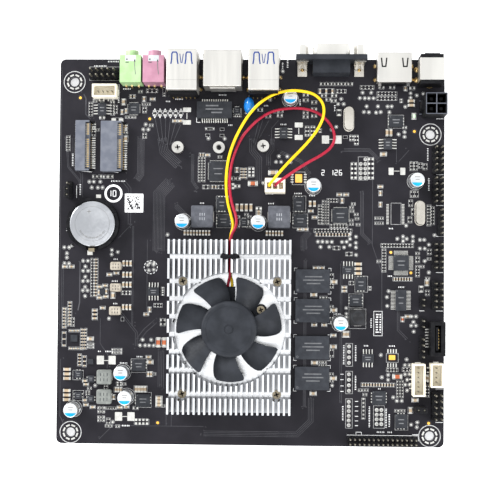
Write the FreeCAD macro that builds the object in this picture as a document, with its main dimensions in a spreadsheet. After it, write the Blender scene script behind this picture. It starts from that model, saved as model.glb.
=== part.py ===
import FreeCAD, Part
import Sketcher
import math
import os
import re

# A Mini-ITX single board computer. Millimetres. The origin is the centre of the board's underside,
# +X runs to the right when the ports face away, +Y to the rear edge with the ports, +Z up.

SIZES = {
    # board
    "board_width": 170.0,
    "board_length": 170.0,
    "board_thick": 1.6,
    "board_corner": 2.5,
    "fixing_radius": 1.98,
    "fixing_left": 6.35,
    "fixing_right": 6.17,
    "fixing_rear_left": 10.16,
    "fixing_rear_right": 33.02,
    "fixing_front": 4.90,
    "solder_radius": 0.95,
    "solder_tip": 0.45,
    "solder_drop": 1.6,
    "empty_hole": 0.5,
    # cooler
    "cooler_x": -8.5,
    "cooler_y": -32.7,
    "cooler_width": 52.9,
    "cooler_length": 74.8,
    "base_thick": 3.2,
    "fin_tall": 10.0,
    "fin_thick": 0.85,
    "fin_pitch": 2.263,
    "fin_count": 24,
    "cross_cut": 2.0,
    "pocket_radius": 24.3,
    "package_width": 25.0,
    "package_length": 27.0,
    "package_thick": 1.1,
    "die_width": 9.0,
    "die_length": 12.0,
    "die_thick": 0.8,
    "pad_thick": 0.3,
    "cooler_screw_x": 41.1,
    "cooler_screw_y": 48.8,
    "cooler_screw_radius": 1.3,
    "cooler_head_radius": 1.9,
    "cooler_head_tall": 1.4,
    "cooler_hole": 1.6,
    "cooler_nut_radius": 2.7,
    "screw_clear": 0.05,
    # fan
    "fan_offset": -1.0,
    "hub_radius": 12.0,
    "hub_wall": 1.0,
    "hub_roof": 1.2,
    "hub_tall": 7.6,
    "hub_lift": 2.2,
    "blade_reach": 22.6,
    "blade_lift": 3.3,
    "blade_tall": 5.9,
    "blade_thick": 1.3,
    "blade_pitch": 24.0,
    "blade_count": 7,
    "blade_angle": 6.0,
    "stator_thick": 1.2,
    "stator_radius": 11.0,
    "arm_reach": 15.8,
    "arm_width": 5.0,
    "arm_angle": 31.4,
    "boss_radius": 3.4,
    "boss_tall": 7.2,
    "bearing_radius": 2.4,
    "bearing_wall_clear": 0.03,
    "shaft_radius": 1.0,
    "shaft_clear": 0.03,
    "magnet_thick": 1.4,
    "magnet_tall": 5.0,
    "coil_radius": 8.9,
    "coil_tall": 4.2,
    "lug_width": 4.4,
    "lug_tall": 1.9,
    "lug_reach": 18.2,
    "wire_radius": 0.62,
    # rear ports
    "jack_wide": 9.2,
    "jack_long": 11.8,
    "jack_tall": 11.0,
    "jack_axis": 5.6,
    "jack_collar": 2.95,
    "jack_collar_long": 2.7,
    "jack_bore": 1.8,
    "jack_bore_long": 13.0,
    "jack_setback": 0.2,
    "usb_wide": 13.1,
    "usb_long": 17.6,
    "usb_tall": 15.6,
    "usb_over": 1.6,
    "usb_wall": 0.35,
    "usb_tongue_thick": 1.9,
    "usb_tongue_wide": 11.1,
    "usb_tongue_long": 12.0,
    "usb_back": 4.0,
    "usb_shelf": 2.6,
    "lan_wide": 16.5,
    "lan_long": 15.6,
    "lan_tall": 13.5,
    "lan_over": 1.5,
    "lan_wall": 0.3,
    "lan_mouth_wide": 11.8,
    "lan_mouth_tall": 7.0,
    "lan_mouth_deep": 11.5,
    "monitor_x": 34.9,
    "monitor_flange_wide": 30.8,
    "monitor_flange_thick": 2.1,
    "monitor_tall": 12.5,
    "monitor_body_wide": 16.1,
    "monitor_body_deep": 5.4,
    "monitor_body_tall": 9.6,
    "monitor_shell_wide": 16.9,
    "monitor_shell_tall": 8.3,
    "monitor_shell_long": 5.0,
    "monitor_shell_wall": 0.4,
    "monitor_nut_spacing": 25.0,
    "monitor_nut_radius": 2.7,
    "monitor_nut_bore": 1.4,
    "video_x": 62.5,
    "video_wide": 15.0,
    "video_long": 13.0,
    "video_tall": 6.0,
    "video_over": 2.1,
    "video_wall": 0.35,
    "dc_x": 78.3,
    "dc_wide": 10.4,
    "dc_long": 12.8,
    "dc_tall": 11.0,
    "dc_over": 0.5,
    "dc_axis": 6.5,
    "dc_bore": 3.15,
    "dc_bore_deep": 9.5,
    "dc_pin": 1.05,
    "dc_shield": 0.3,
    # power socket, card sockets, cell
    "socket_x": 79.9,
    "socket_y": 63.8,
    "socket_wide": 9.4,
    "socket_tall": 12.8,
    "socket_cell": 3.7,
    "socket_deep": 9.0,
    "socket_pitch": 4.2,
    "card_long": 22.2,
    "card_left_x": -74.2,
    "card_left_wide": 6.2,
    "card_left_tall": 4.2,
    "card_right_x": -61.3,
    "card_right_wide": 9.2,
    "card_right_tall": 5.6,
    "card_slot": 1.2,
    "card_slot_deep": 3.6,
    "standoff_radius": 2.6,
    "standoff_bore": 1.25,
    "standoff_tall": 2.4,
    "standoff_head": 1.2,
    "cell_x": -69.4,
    "cell_y": 11.6,
    "cell_radius": 10.0,
    "cell_thick": 3.2,
    "cell_clear": 0.3,
    "holder_wall": 1.3,
    "holder_floor": 0.9,
    "holder_tall": 3.6,
    "latch_wide": 2.6,
    "latch_thick": 0.4,
    "latch_tall": 4.4,
    "latch_rise": 0.15,
    # parts on the board
    "can_radius": 3.15,
    "can_tall": 8.0,
    "choke_side": 10.0,
    "choke_tall": 4.5,
    "memory_wide": 15.0,
    "memory_long": 10.2,
    "memory_thick": 1.1,
    "disc_x": -0.9,
    "disc_y": 63.8,
    "disc_thick": 4.6,
    "disc_long": 7.6,
    "disc_lift": 0.8,
    "crystal_wide": 4.6,
    "crystal_long": 11.0,
    "crystal_tall": 3.5,
    "pitch": 2.54,
    "fine_pitch": 2.03,
    "pin_side": 0.64,
    "header_tall": 2.5,
    "pin_top": 10.1,
    "fine_pin_top": 7.4,
    "pin_tail": 1.4,
    "edge_outer_row": 1.7,
    "jumper_tall": 6.0,
    "jumper_hole": 0.8,
    "jumper_rise": 0.3,
    "plug_x": 10.8,
    "plug_y": 28.2,
    "plug_wide": 8.8,
    "plug_deep": 5.6,
    "plug_tall": 8.0,
    "plug_window": 1.9,
    "plug_window_deep": 2.4,
    "fan_header_tall": 3.2,
    "fan_header_wall": 0.8,
    "wafer_wall": 0.7,
    "wafer_floor": 1.4,
    "wafer_tall": 6.0,
    "sata_wide": 6.4,
    "sata_long": 14.8,
    "sata_tall": 8.2,
}

DOC = FreeCAD.newDocument("SingleBoardComputer")
SHEET = DOC.addObject("Spreadsheet::Sheet", "Sizes")
PIECES = []

RIGHT = "board_width / 2"
REAR = "board_length / 2"
TOP = "board_thick"
COOLER_FOOT = "board_thick + package_thick + die_thick + pad_thick"
FLOOR = f"{COOLER_FOOT} + base_thick"
FAN_Y = "cooler_y + fan_offset"

# Places of the parts on the board, in millimetres from its centre.
CANS = [(17.2, 67.3), (-29.7, 12.9), (3.5, 12.6), (27.5, 28.8), (72.4, 31.3),
        (39.6, -31.2), (-77.4, -69.7), (-55.8, -53.5), (-53.9, -64.2)]
MEMORY = [(27.5, -12.8), (27.5, -25.8), (27.4, -42.0), (27.4, -55.4)]
CHOKES = [(-21.1, 15.1), (12.6, 15.1)]
CRYSTALS = [(43.0, 58.6), (74.3, 17.3)]
# x, y, width, length, height
SMALL_CHOKES = [(-63.7, -55.6, 6.8, 6.6, 3.0), (-63.7, -64.2, 6.8, 6.6, 3.0), (-59.1, -6.8, 5.2, 3.9, 2.5),
                (-59.1, -16.3, 5.2, 3.9, 2.5), (-59.3, -26.5, 5.4, 4.1, 2.5), (47.2, -28.6, 7.0, 7.4, 3.0)]
CHIPS = [(-14.4, 35.4, 8.4, 8.8, 1.0), (-6.3, 62.3, 3.0, 3.0, 0.9), (-52.1, 63.0, 5.0, 5.0, 0.9),
         (-66.1, 62.6, 3.8, 5.6, 1.4), (14.3, 52.3, 3.6, 5.0, 1.4), (60.1, 47.7, 3.8, 5.0, 1.4),
         (63.7, 57.7, 6.2, 5.0, 1.0), (39.5, 16.1, 7.2, 6.6, 1.2), (43.0, -7.9, 5.2, 3.6, 1.4),
         (66.1, -4.6, 6.8, 6.8, 1.4), (66.1, -20.9, 4.7, 9.2, 1.4), (51.8, -46.4, 5.2, 3.8, 1.4),
         (56.7, -63.6, 6.0, 6.0, 1.1), (-42.5, -17.9, 5.0, 3.8, 1.4), (-2.9, 12.8, 3.2, 3.4, 0.8)]
TRANSISTORS = [(-12.7, 20.9, 4.8, 6.0, 1.1), (-11.9, 13.5, 5.6, 5.4, 1.1), (21.2, 21.1, 4.8, 6.2, 1.1),
               (21.9, 13.8, 6.0, 5.6, 1.1), (48.6, -13.8, 4.8, 6.0, 1.1), (46.4, -21.2, 5.4, 5.0, 1.1),
               (66.4, -73.7, 5.2, 6.2, 1.1), (-48.7, -50.3, 6.0, 5.2, 1.1), (-46.7, -65.8, 6.2, 5.4, 1.1),
               (-75.4, -54.6, 3.2, 3.2, 1.0), (-75.4, -63.9, 3.2, 3.2, 1.0), (-69.8, -56.6, 3.0, 3.0, 1.0),
               (-69.8, -65.3, 3.0, 3.0, 1.0)]
# x, y, number of parts, step along x, step along y, width, length
CAPACITOR_ROWS = [(-29.0, 8.1, 9, 1.35, 0.0, 0.8, 1.6), (7.2, 8.1, 6, 1.35, 0.0, 0.8, 1.6),
                  (-6.0, 19.4, 4, 2.05, 0.0, 1.2, 2.6), (26.2, 21.2, 2, 1.9, 0.0, 1.1, 2.0),
                  (-55.9, -5.6, 3, 1.55, 0.0, 0.9, 1.9), (-55.9, -10.6, 3, 1.55, 0.0, 0.9, 1.9),
                  (-55.9, -15.0, 3, 1.55, 0.0, 0.9, 1.9), (-55.9, -24.9, 3, 1.55, 0.0, 0.9, 1.9),
                  (-80.5, -52.5, 3, 0.0, -2.0, 2.6, 1.2), (-80.5, -61.8, 3, 0.0, -2.0, 2.6, 1.2),
                  (47.4, -5.2, 3, 0.0, -2.05, 2.6, 1.2), (70.4, 66.7, 2, 0.0, -1.9, 2.4, 1.1),
                  (3.6, 17.6, 2, 0.0, -1.3, 1.7, 0.9), (59.8, 52.7, 2, 1.7, 0.0, 1.1, 2.4)]
# centre x and y, columns, rows: headers on the 2.54 grid that stand away from the right edge
HEADERS = [(-65.4, 78.2, 5, 2), (-80.0, 26.7, 1, 3), (75.4, -31.0, 1, 2), (75.4, -41.5, 1, 4),
           (74.4, -68.0, 2, 1), (75.4, -21.8, 1, 2)]
# centre y, rows and columns of the headers along the right edge
EDGE_HEADERS = [(40.8, 5, 2), (27.3, 5, 2), (13.5, 5, 1), (-1.5, 5, 2), (-18.6, 5, 2), (-67.0, 5, 2)]
FINE_HEADER = (58.3, -82.4, 15, 2)
WAFERS = [(-64.5, 70.2, 10.8, 5.8, 4, 0), (73.6, -55.4, 5.4, 14.1, 0, 6), (81.4, -53.3, 5.6, 10.4, 0, 4)]
# centre x and y, columns, rows, pitch: rows of holes left empty
EMPTY_HOLES = [(49.35, 35.8, 2, 4, 2.05), (50.4, 40.9, 1, 1, 2.05), (43.6, -44.9, 1, 4, 2.4),
               (43.6, -57.1, 1, 4, 2.4), (43.6, -70.6, 1, 6, 2.05), (56.8, -72.0, 2, 4, 2.05)]
CUT_ROWS = [-2.55, -13.2, -20.8, -28.5, -36.3, -43.7, -51.8, -62.2]
STANDOFFS = [(-32.2, 45.6), (-14.1, 45.7), (5.4, 46.3)]
YELLOW_ROUTE = [(-7.60, -15.5, 7.95), (-7.60, -13.2, 7.95), (-8.47, -10.9, 7.80), (-8.53, -6.4, 7.75),
                (-8.47, 0.2, 7.80), (-8.52, 6.8, 8.00), (-7.10, 11.0, 7.40), (-8.40, 15.6, 6.30),
                (-9.90, 20.8, 5.20), (-10.8, 27.4, 4.70), (-10.7, 34.4, 4.60), (-9.80, 41.0, 4.80),
                (-7.80, 47.2, 5.60), (-4.90, 53.2, 7.20), (-0.90, 59.4, 9.40), (3.70, 64.2, 11.2),
                (9.60, 67.8, 12.6), (16.0, 69.4, 12.9), (22.2, 69.4, 11.8), (27.8, 68.4, 9.60),
                (31.6, 64.8, 7.80), (32.0, 59.6, 7.20), (29.9, 54.4, 7.40), (26.7, 49.6, 8.40),
                (22.7, 44.9, 10.2), (18.5, 40.4, 12.5), (14.7, 36.1, 15.0), (11.9, 32.6, 16.9),
                (9.90, 30.1, 17.3), (8.70, 28.7, 15.9), (8.28, 28.2, 13.6), (8.26, 28.2, 10.4)]
RED_ROUTE = [(-9.40, -15.5, 8.00), (-9.40, -13.7, 8.00), (-8.53, -11.4, 9.20), (-8.47, -7.4, 9.25),
             (-8.54, -0.6, 9.22), (-8.47, 6.4, 9.35), (-5.90, 10.6, 9.00), (-6.00, 15.0, 7.60),
             (-7.90, 20.0, 6.00), (-9.10, 25.6, 5.00), (-9.30, 31.8, 4.50), (-8.60, 38.2, 4.40),
             (-6.80, 44.2, 4.40), (-4.20, 50.0, 4.50), (-0.20, 54.8, 4.60), (4.40, 59.0, 4.80),
             (9.80, 61.8, 5.10), (15.8, 62.8, 5.20), (21.6, 63.0, 4.90), (27.4, 62.0, 4.40),
             (32.0, 59.2, 4.20), (35.4, 55.2, 4.30), (37.0, 50.2, 4.80), (35.4, 45.6, 6.20),
             (30.8, 41.8, 8.80), (25.6, 38.8, 11.6), (20.4, 35.3, 14.4), (16.0, 32.0, 16.6),
             (13.0, 29.8, 17.3), (11.3, 28.6, 15.9), (10.82, 28.2, 13.6), (10.8, 28.2, 10.4)]


def size(alias):
    """A driving size, read back from the sheet."""
    return float(SHEET.get(alias))


def bound(value):
    """The text of an expression, with each size's name pointing into the sheet."""
    if not isinstance(value, str):
        return repr(round(value, 4))

    def point_in(word):
        return "Sizes." + word.group() if word.group() in SIZES else word.group()

    return re.sub(r"[a-z][a-z_]*", point_in, value)


def bind(item, **fields):
    """Bind properties of an item to expressions of the sheet."""
    for name, value in fields.items():
        item.setExpression(name, bound(value))
    return item


def put(item, x, y, z):
    """Bind an item's place."""
    for axis, value in zip("xyz", (x, y, z)):
        item.setExpression(f"Placement.Base.{axis}", bound(value))
    return item


def box(x, y, z, wide, long, tall):
    """A block centred on x and y that stands on z."""
    item = bind(DOC.addObject("Part::Box", "Block"), Length=wide, Width=long, Height=tall)
    return put(item, f"({x}) - ({wide}) / 2", f"({y}) - ({long}) / 2", z)


def rod(x, y, z, radius, tall, along="z"):
    """A cylinder that starts at x, y, z and runs along +Z, or along +Y."""
    item = bind(DOC.addObject("Part::Cylinder", "Rod"), Radius=radius, Height=tall)
    if along == "y":
        item.Placement = FreeCAD.Placement(FreeCAD.Vector(), FreeCAD.Rotation(FreeCAD.Vector(1, 0, 0), -90))
    return put(item, x, y, z)


def cone(x, y, z, low, high, tall):
    """A cone frustum that starts at x, y, z."""
    item = bind(DOC.addObject("Part::Cone", "Frustum"), Radius1=low, Radius2=high, Height=tall)
    return put(item, x, y, z)


def group(items):
    """Separate solids that share a node."""
    item = DOC.addObject("Part::Compound", "Group")
    item.Links = items
    return item


def join(*items):
    """One solid from several that meet."""
    item = DOC.addObject("Part::MultiFuse", "Joined")
    item.Shapes = list(items)
    item.Refine = True
    return item


def cut(base, *tools):
    """A piece with other shapes taken out of it."""
    item = DOC.addObject("Part::Cut", "Trimmed")
    item.Base = base
    item.Tool = tools[0] if len(tools) == 1 else group(list(tools))
    return item


def shaped(shape, x=0.0, y=0.0, z=0.0, turn=0.0):
    """A computed shape, placed and turned about +Z after it is set."""
    item = DOC.addObject("Part::Feature", "Shaped")
    item.Shape = shape
    about_up = FreeCAD.Rotation(FreeCAD.Vector(0, 0, 1), turn)
    item.Placement = FreeCAD.Placement(FreeCAD.Vector(x, y, z), about_up)
    return item


def keep(label, item):
    """Name a finished piece, which becomes a node of its own."""
    item.Label = label
    PIECES.append(item)
    return item


def fill_sheet():
    """Write the driving dimensions into the sheet."""
    for row, (alias, value) in enumerate(SIZES.items(), start=1):
        SHEET.set(f"A{row}", alias)
        SHEET.set(f"B{row}", str(value))
        SHEET.setAlias(f"B{row}", alias)
    DOC.recompute()


def origin_plane(body, role):
    """One of a body's own origin planes."""
    return next(item for item in body.Origin.OriginFeatures if item.Role == role)


def rectangle(body, left, front, right, rear):
    """A sketch of a rectangle on a body's XY plane, its corners bound to the sheet."""
    sketch = body.newObject("Sketcher::SketchObject", "Outline")
    sketch.AttachmentSupport = [(origin_plane(body, "XY_Plane"), "")]
    sketch.MapMode = "FlatFace"
    corners = [FreeCAD.Vector(*point) for point in ((-1, -1, 0), (1, -1, 0), (1, 1, 0), (-1, 1, 0))]
    for start, end in zip(corners, corners[1:] + corners[:1]):
        sketch.addGeometry(Part.LineSegment(start, end))
    for side in range(4):
        sketch.addConstraint(Sketcher.Constraint("Coincident", side, 2, (side + 1) % 4, 1))
        sketch.addConstraint(Sketcher.Constraint("Horizontal" if side % 2 == 0 else "Vertical", side))
    for name, kind, side, value in (("left", "DistanceX", 0, left), ("front", "DistanceY", 0, front),
                                    ("right", "DistanceX", 2, right), ("rear", "DistanceY", 2, rear)):
        place = -1.0 if name in ("left", "front") else 1.0
        index = sketch.addConstraint(Sketcher.Constraint(kind, side, 1, place))
        sketch.renameConstraint(index, name)
        sketch.setExpression(f"Constraints.{name}", bound(value))
    return sketch


def pad(body, sketch, length):
    """Raise a sketch into a solid."""
    feature = body.newObject("PartDesign::Pad", "Pad")
    feature.Profile = sketch
    bind(feature, Length=length)
    return feature


def fixing_places():
    """The four mounting holes, as expressions."""
    left = f"fixing_left - {RIGHT}"
    right = f"{RIGHT} - fixing_right"
    return [(left, f"{REAR} - fixing_rear_left"), (right, f"{REAR} - fixing_rear_right"),
            (left, f"fixing_front - {REAR}"), (right, f"fixing_front - {REAR}")]


def cooler_screw_places():
    """The four heatsink screws, as expressions."""
    return [(f"cooler_x + {side} * cooler_screw_x / 2", f"cooler_y - 5 + {end} * cooler_screw_y / 2")
            for side in (-1, 1) for end in (-1, 1)]


def grid(x, y, columns, rows, step):
    """Places of a rectangular grid about a centre."""
    for column in range(columns):
        for row in range(rows):
            yield (f"({x}) + {column - (columns - 1) / 2} * {step}",
                   f"({y}) + {row - (rows - 1) / 2} * {step}")


def make_board():
    """The board: a rounded plate with its fixing, heatsink and empty header holes."""
    body = DOC.addObject("PartDesign::Body", "BoardBody")
    outline = rectangle(body, f"-{RIGHT}", f"-{REAR}", RIGHT, REAR)
    plate = pad(body, outline, "board_thick")
    DOC.recompute()
    corners = [f"Edge{number}" for number, edge in enumerate(plate.Shape.Edges, start=1)
               if abs(edge.tangentAt(edge.FirstParameter).z) > 0.99]
    rounding = body.newObject("PartDesign::Fillet", "Corners")
    rounding.Base = (plate, corners)
    bind(rounding, Radius="board_corner")
    holes = [rod(x, y, -1, "fixing_radius", "board_thick + 2") for x, y in fixing_places()]
    holes += [rod(x, y, -1, "cooler_hole", "board_thick + 2") for x, y in cooler_screw_places()]
    for x, y, columns, rows, step in EMPTY_HOLES:
        holes += [rod(*place, -1, "empty_hole", "board_thick + 2")
                  for place in grid(x, y, columns, rows, step)]
    keep("pcb", cut(body, *holes))


def solder_places():
    """Places of the large through-hole joints."""
    places = []
    for x, y in CANS:
        places += [(x - 1.25, y), (x + 1.25, y)]
    for x in (-52.4, -42.4):
        places += [(f"{x} - 3.4", f"{REAR} - 3"), (f"{x} + 3.4", f"{REAR} - 3"), (x, f"{REAR} - 10")]
    for x in (-29.7, 5.6):
        places += [(f"{x} + {side} * usb_wide / 2", f"{REAR} - {back}")
                   for side in (-1, 1) for back in (8, 13.5)]
    places += [(f"-12.3 + {side} * lan_wide / 2", f"{REAR} - 8") for side in (-1, 1)]
    places += [(f"monitor_x + {side} * monitor_nut_spacing / 2", f"{REAR} - 7.4") for side in (-1, 1)]
    places += [(f"video_x + {side} * video_wide / 2", f"{REAR} - {back}")
               for side in (-1, 1) for back in (3, 9)]
    places += [("dc_x", f"{REAR} - 11"), ("dc_x - 4", f"{REAR} - 7"), ("dc_x", f"{REAR} - 5")]
    places += [("cell_x", "cell_y + 9"), ("cell_x - 1.5", "cell_y - 12.2")]
    places += [(f"{RIGHT} - 3.6", -31.5), (f"{RIGHT} - 3.6", -43.3)]
    return places


def make_solder():
    """Solder cones on the underside."""
    keep("solder_joints", group([cone(x, y, "-solder_drop", "solder_tip", "solder_radius", "solder_drop")
                                 for x, y in solder_places()]))


def make_cooler():
    """Processor, pad, finned heatsink and the screws that hold it."""
    keep("processor", join(box("cooler_x", FAN_Y, TOP, "package_width", "package_length", "package_thick"),
                           box("cooler_x", FAN_Y, "board_thick + package_thick", "die_width", "die_length",
                               "die_thick")))
    keep("thermal_pad", box("cooler_x", FAN_Y, f"{COOLER_FOOT} - pad_thick", "die_width", "die_length",
                            "pad_thick"))
    body = DOC.addObject("PartDesign::Body", "HeatsinkBody")
    base = rectangle(body, "-cooler_width / 2", "-cooler_length / 2", "cooler_width / 2", "cooler_length / 2")
    pad(body, base, "base_thick")
    first = "-(fin_count - 1) / 2 * fin_pitch"
    fin_outline = rectangle(body, f"{first} - fin_thick / 2", "-cooler_length / 2",
                            f"{first} + fin_thick / 2", "cooler_length / 2")
    fin = pad(body, fin_outline, "base_thick + fin_tall")
    DOC.recompute()
    fins = body.newObject("PartDesign::LinearPattern", "Fins")
    fins.Originals = [fin]
    fins.Direction = (fin_outline, ["H_Axis"])
    bind(fins, Length="(fin_count - 1) * fin_pitch", Occurrences="fin_count")
    body.Tip = fins
    put(body, "cooler_x", "cooler_y", COOLER_FOOT)
    cuts = [box("cooler_x", y, FLOOR, "cooler_width + 2", "cross_cut", "fin_tall + 1") for y in CUT_ROWS]
    cuts.append(rod("cooler_x", FAN_Y, FLOOR, "pocket_radius", "fin_tall + 1"))
    for x, y in cooler_screw_places():
        cuts.append(rod(x, y, FLOOR, "cooler_head_radius + 0.5", "fin_tall + 1"))
        cuts.append(rod(x, y, f"{COOLER_FOOT} - 1", "cooler_hole", "base_thick + 2"))
    keep("heatsink", cut(body, *cuts))
    screws = []
    for x, y in cooler_screw_places():
        shank = rod(x, y, "-solder_drop", "cooler_screw_radius", f"{FLOOR} + solder_drop")
        head = rod(x, y, FLOOR, "cooler_head_radius", "cooler_head_tall")
        cross = join(box(x, y, f"{FLOOR} + cooler_head_tall - 0.7", 1.8, 0.5, 1),
                     box(x, y, f"{FLOOR} + cooler_head_tall - 0.7", 0.5, 1.8, 1))
        screws.append(cut(join(shank, head), cross))
        nut = bind(DOC.addObject("Part::Prism", "Hexagon"), Circumradius="cooler_nut_radius",
                   Height="solder_drop")
        put(nut, x, y, "-solder_drop")
        thread = rod(x, y, "-solder_drop - 1", "cooler_screw_radius + screw_clear", "solder_drop + 2")
        screws.append(cut(nut, thread))
    keep("heatsink_screws", group(screws))


def at(radius, angle):
    """A point of the fan's plan, by radius and bearing."""
    bearing = math.radians(angle)
    return FreeCAD.Vector(radius * math.cos(bearing), radius * math.sin(bearing), 0)


def make_blade():
    """One fan blade: a curved plan cut from a tilted slab."""
    inner = size("hub_radius") - size("hub_wall") / 2
    reach = size("blade_reach")
    middle = (inner + reach) / 2
    plan = Part.Wire([Part.Arc(at(inner, -20), at(middle, -18), at(reach, -9)).toShape(),
                      Part.Arc(at(reach, -9), at(reach, 8), at(reach, 26)).toShape(),
                      Part.Arc(at(reach, 26), at(middle, 18), at(inner, 20)).toShape(),
                      Part.Arc(at(inner, 20), at(inner, 0), at(inner, -20)).toShape()])
    prism = Part.Face(plan).extrude(FreeCAD.Vector(0, 0, size("blade_tall")))
    slab = Part.makeBox(2 * reach, 4 * reach, size("blade_thick"),
                        FreeCAD.Vector(-size("hub_radius") / 2, -2 * reach, -size("blade_thick") / 2))
    slab.rotate(FreeCAD.Vector(), FreeCAD.Vector(1, 0, 0), size("blade_pitch"))
    slab.translate(FreeCAD.Vector(0, 0, size("blade_tall") / 2))
    return prism.common(slab)


def make_fan():
    """The fan: a fixed stator with its coils and bearing, and the rotor that turns on its shaft."""
    roof = f"{FLOOR} + hub_lift + hub_tall - hub_roof"
    stack = ("board_thick", "package_thick", "die_thick", "pad_thick", "base_thick")
    floor = sum(size(alias) for alias in stack)
    fan_y = size("cooler_y") + size("fan_offset")
    hub = cut(rod("cooler_x", FAN_Y, f"{FLOOR} + hub_lift", "hub_radius", "hub_tall"),
              rod("cooler_x", FAN_Y, f"{FLOOR} + hub_lift - 1", "hub_radius - hub_wall",
                  "hub_tall - hub_roof + 1"))
    first = size("blade_angle")
    step = 360 / size("blade_count")
    wings = [shaped(make_blade(), size("cooler_x"), fan_y, floor + size("blade_lift"), first + number * step)
             for number in range(int(size("blade_count")))]
    keep("fan_rotor", join(hub, *wings))
    keep("fan_shaft", rod("cooler_x", FAN_Y, f"{FLOOR} + 0.4 + stator_thick", "shaft_radius",
                          f"{roof} - ({FLOOR}) - 0.4 - stator_thick"))
    magnet_outer = "hub_radius - hub_wall"
    keep("rotor_magnet", cut(rod("cooler_x", FAN_Y, f"{roof} - magnet_tall", magnet_outer, "magnet_tall"),
                             rod("cooler_x", FAN_Y, f"{roof} - magnet_tall - 1",
                                 f"{magnet_outer} - magnet_thick", "magnet_tall + 2")))
    disc = rod("cooler_x", FAN_Y, FLOOR, "stator_radius", "stator_thick")
    boss = rod("cooler_x", FAN_Y, FLOOR, "boss_radius", "boss_tall")
    lug = box("cooler_x", f"{FAN_Y} + (lug_reach + boss_radius) / 2", FLOOR, "lug_width",
              "lug_reach - boss_radius", "lug_tall")
    arms = []
    seats = []
    screws = []
    for number in range(3):
        angle = math.radians(size("arm_angle") + 120 * number)
        x = f"cooler_x + arm_reach * {math.cos(angle):.6f}"
        y = f"{FAN_Y} + arm_reach * {math.sin(angle):.6f}"
        arm = DOC.addObject("Part::Box", "Arm")
        bind(arm, Length="arm_reach", Width="arm_width", Height="stator_thick")
        arm.Placement = FreeCAD.Placement(FreeCAD.Vector(),
                                          FreeCAD.Rotation(FreeCAD.Vector(0, 0, 1), math.degrees(angle)))
        put(arm, f"cooler_x + arm_width / 2 * {math.sin(angle):.6f}",
            f"{FAN_Y} - arm_width / 2 * {math.cos(angle):.6f}", FLOOR)
        arms += [arm, rod(x, y, FLOOR, "arm_width / 2", "stator_thick")]
        seats.append(rod(x, y, f"{FLOOR} - 1", "shaft_radius + screw_clear", "stator_thick + 2"))
        cross = join(box(x, y, f"{FLOOR} + stator_thick + 0.5", 1.9, 0.5, 1),
                     box(x, y, f"{FLOOR} + stator_thick + 0.5", 0.5, 1.9, 1))
        screws.append(cut(join(rod(x, y, FLOOR, "shaft_radius", "stator_thick + 0.5"),
                               rod(x, y, f"{FLOOR} + stator_thick", 1.7, 1.0)), cross))
    bore = rod("cooler_x", FAN_Y, f"{FLOOR} + stator_thick", "bearing_radius + bearing_wall_clear",
               "boss_tall")
    keep("fan_stator", cut(join(disc, boss, lug, *arms), bore, *seats))
    keep("fan_screws", group(screws))
    keep("fan_bearing", cut(rod("cooler_x", FAN_Y, f"{FLOOR} + stator_thick", "bearing_radius",
                                "boss_tall - stator_thick"),
                            rod("cooler_x", FAN_Y, FLOOR, "shaft_radius + shaft_clear", "boss_tall + 1")))
    coil_foot = f"{FLOOR} + stator_thick + 1.0"
    core = rod("cooler_x", FAN_Y, coil_foot, "coil_radius - 2", "coil_tall")
    poles = [box("cooler_x", FAN_Y, coil_foot, "coil_radius * 2", 5, "coil_tall"),
             box("cooler_x", FAN_Y, coil_foot, 5, "coil_radius * 2", "coil_tall")]
    keep("fan_coils", cut(join(core, *poles), rod("cooler_x", FAN_Y, FLOOR, "boss_radius + screw_clear",
                                                  "fin_tall")))


def cord_path(name, points):
    """Straight runs joined by tangent arcs, each as large as its two runs allow."""
    edges = []
    radii = []
    places = [FreeCAD.Vector(*point) for point in points]
    start = places[0]
    for before, corner, after in zip(places, places[1:], places[2:]):
        inward = corner - before
        outward = after - corner
        turn = inward.getAngle(outward)
        reach = 0.45 * min(inward.Length, outward.Length)
        radius = reach / math.tan(turn / 2)
        inward.normalize()
        outward.normalize()
        first = corner - inward * reach
        last = corner + outward * reach
        bisector = outward - inward
        bisector.normalize()
        middle = corner + bisector * (radius / math.cos(turn / 2) - radius)
        edges.append(Part.LineSegment(start, first).toShape())
        edges.append(Part.Arc(first, middle, last).toShape())
        radii.append(round(radius, 1))
        start = last
    edges.append(Part.LineSegment(start, places[-1]).toShape())
    print(name, "smallest radii", sorted(radii)[:4])
    return Part.Wire(edges)


def make_cord(label, points):
    """A wire swept along its route."""
    path = cord_path(label, points)
    radius = size("wire_radius")
    heading = path.Edges[0].tangentAt(path.Edges[0].FirstParameter)
    ring = Part.Wire(Part.makeCircle(radius, FreeCAD.Vector(*points[0]), heading))
    tube = path.makePipeShell([ring], True, False)
    print(label, "length", round(path.Length, 1), "volume share",
          round(tube.Volume / (math.pi * radius ** 2 * path.Length), 4))
    keep(label, shaped(tube))


def make_clip():
    """The bow-shaped clip that holds the wires down in the heatsink."""
    row = CUT_ROWS[0]
    half = size("cross_cut") / 2
    x = size("cooler_x")
    outline = [(-4.2, 0.5), (-3.0, 1.0), (-1.6, 0.9), (0, 0.45), (1.6, 0.9), (3.0, 1.0), (4.2, 0.4)]
    upper = [FreeCAD.Vector(x + across, row + share * half, 0) for across, share in outline]
    lower = [FreeCAD.Vector(x + across, row - share * half, 0) for across, share in reversed(outline)]
    face = Part.Face(Part.makePolygon(upper + lower + upper[:1]))
    foot = RED_ROUTE[4][2] + size("wire_radius") + 0.3
    keep("cable_tie", shaped(face.extrude(FreeCAD.Vector(0, 0, 2.2)), 0, 0, foot))


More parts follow.
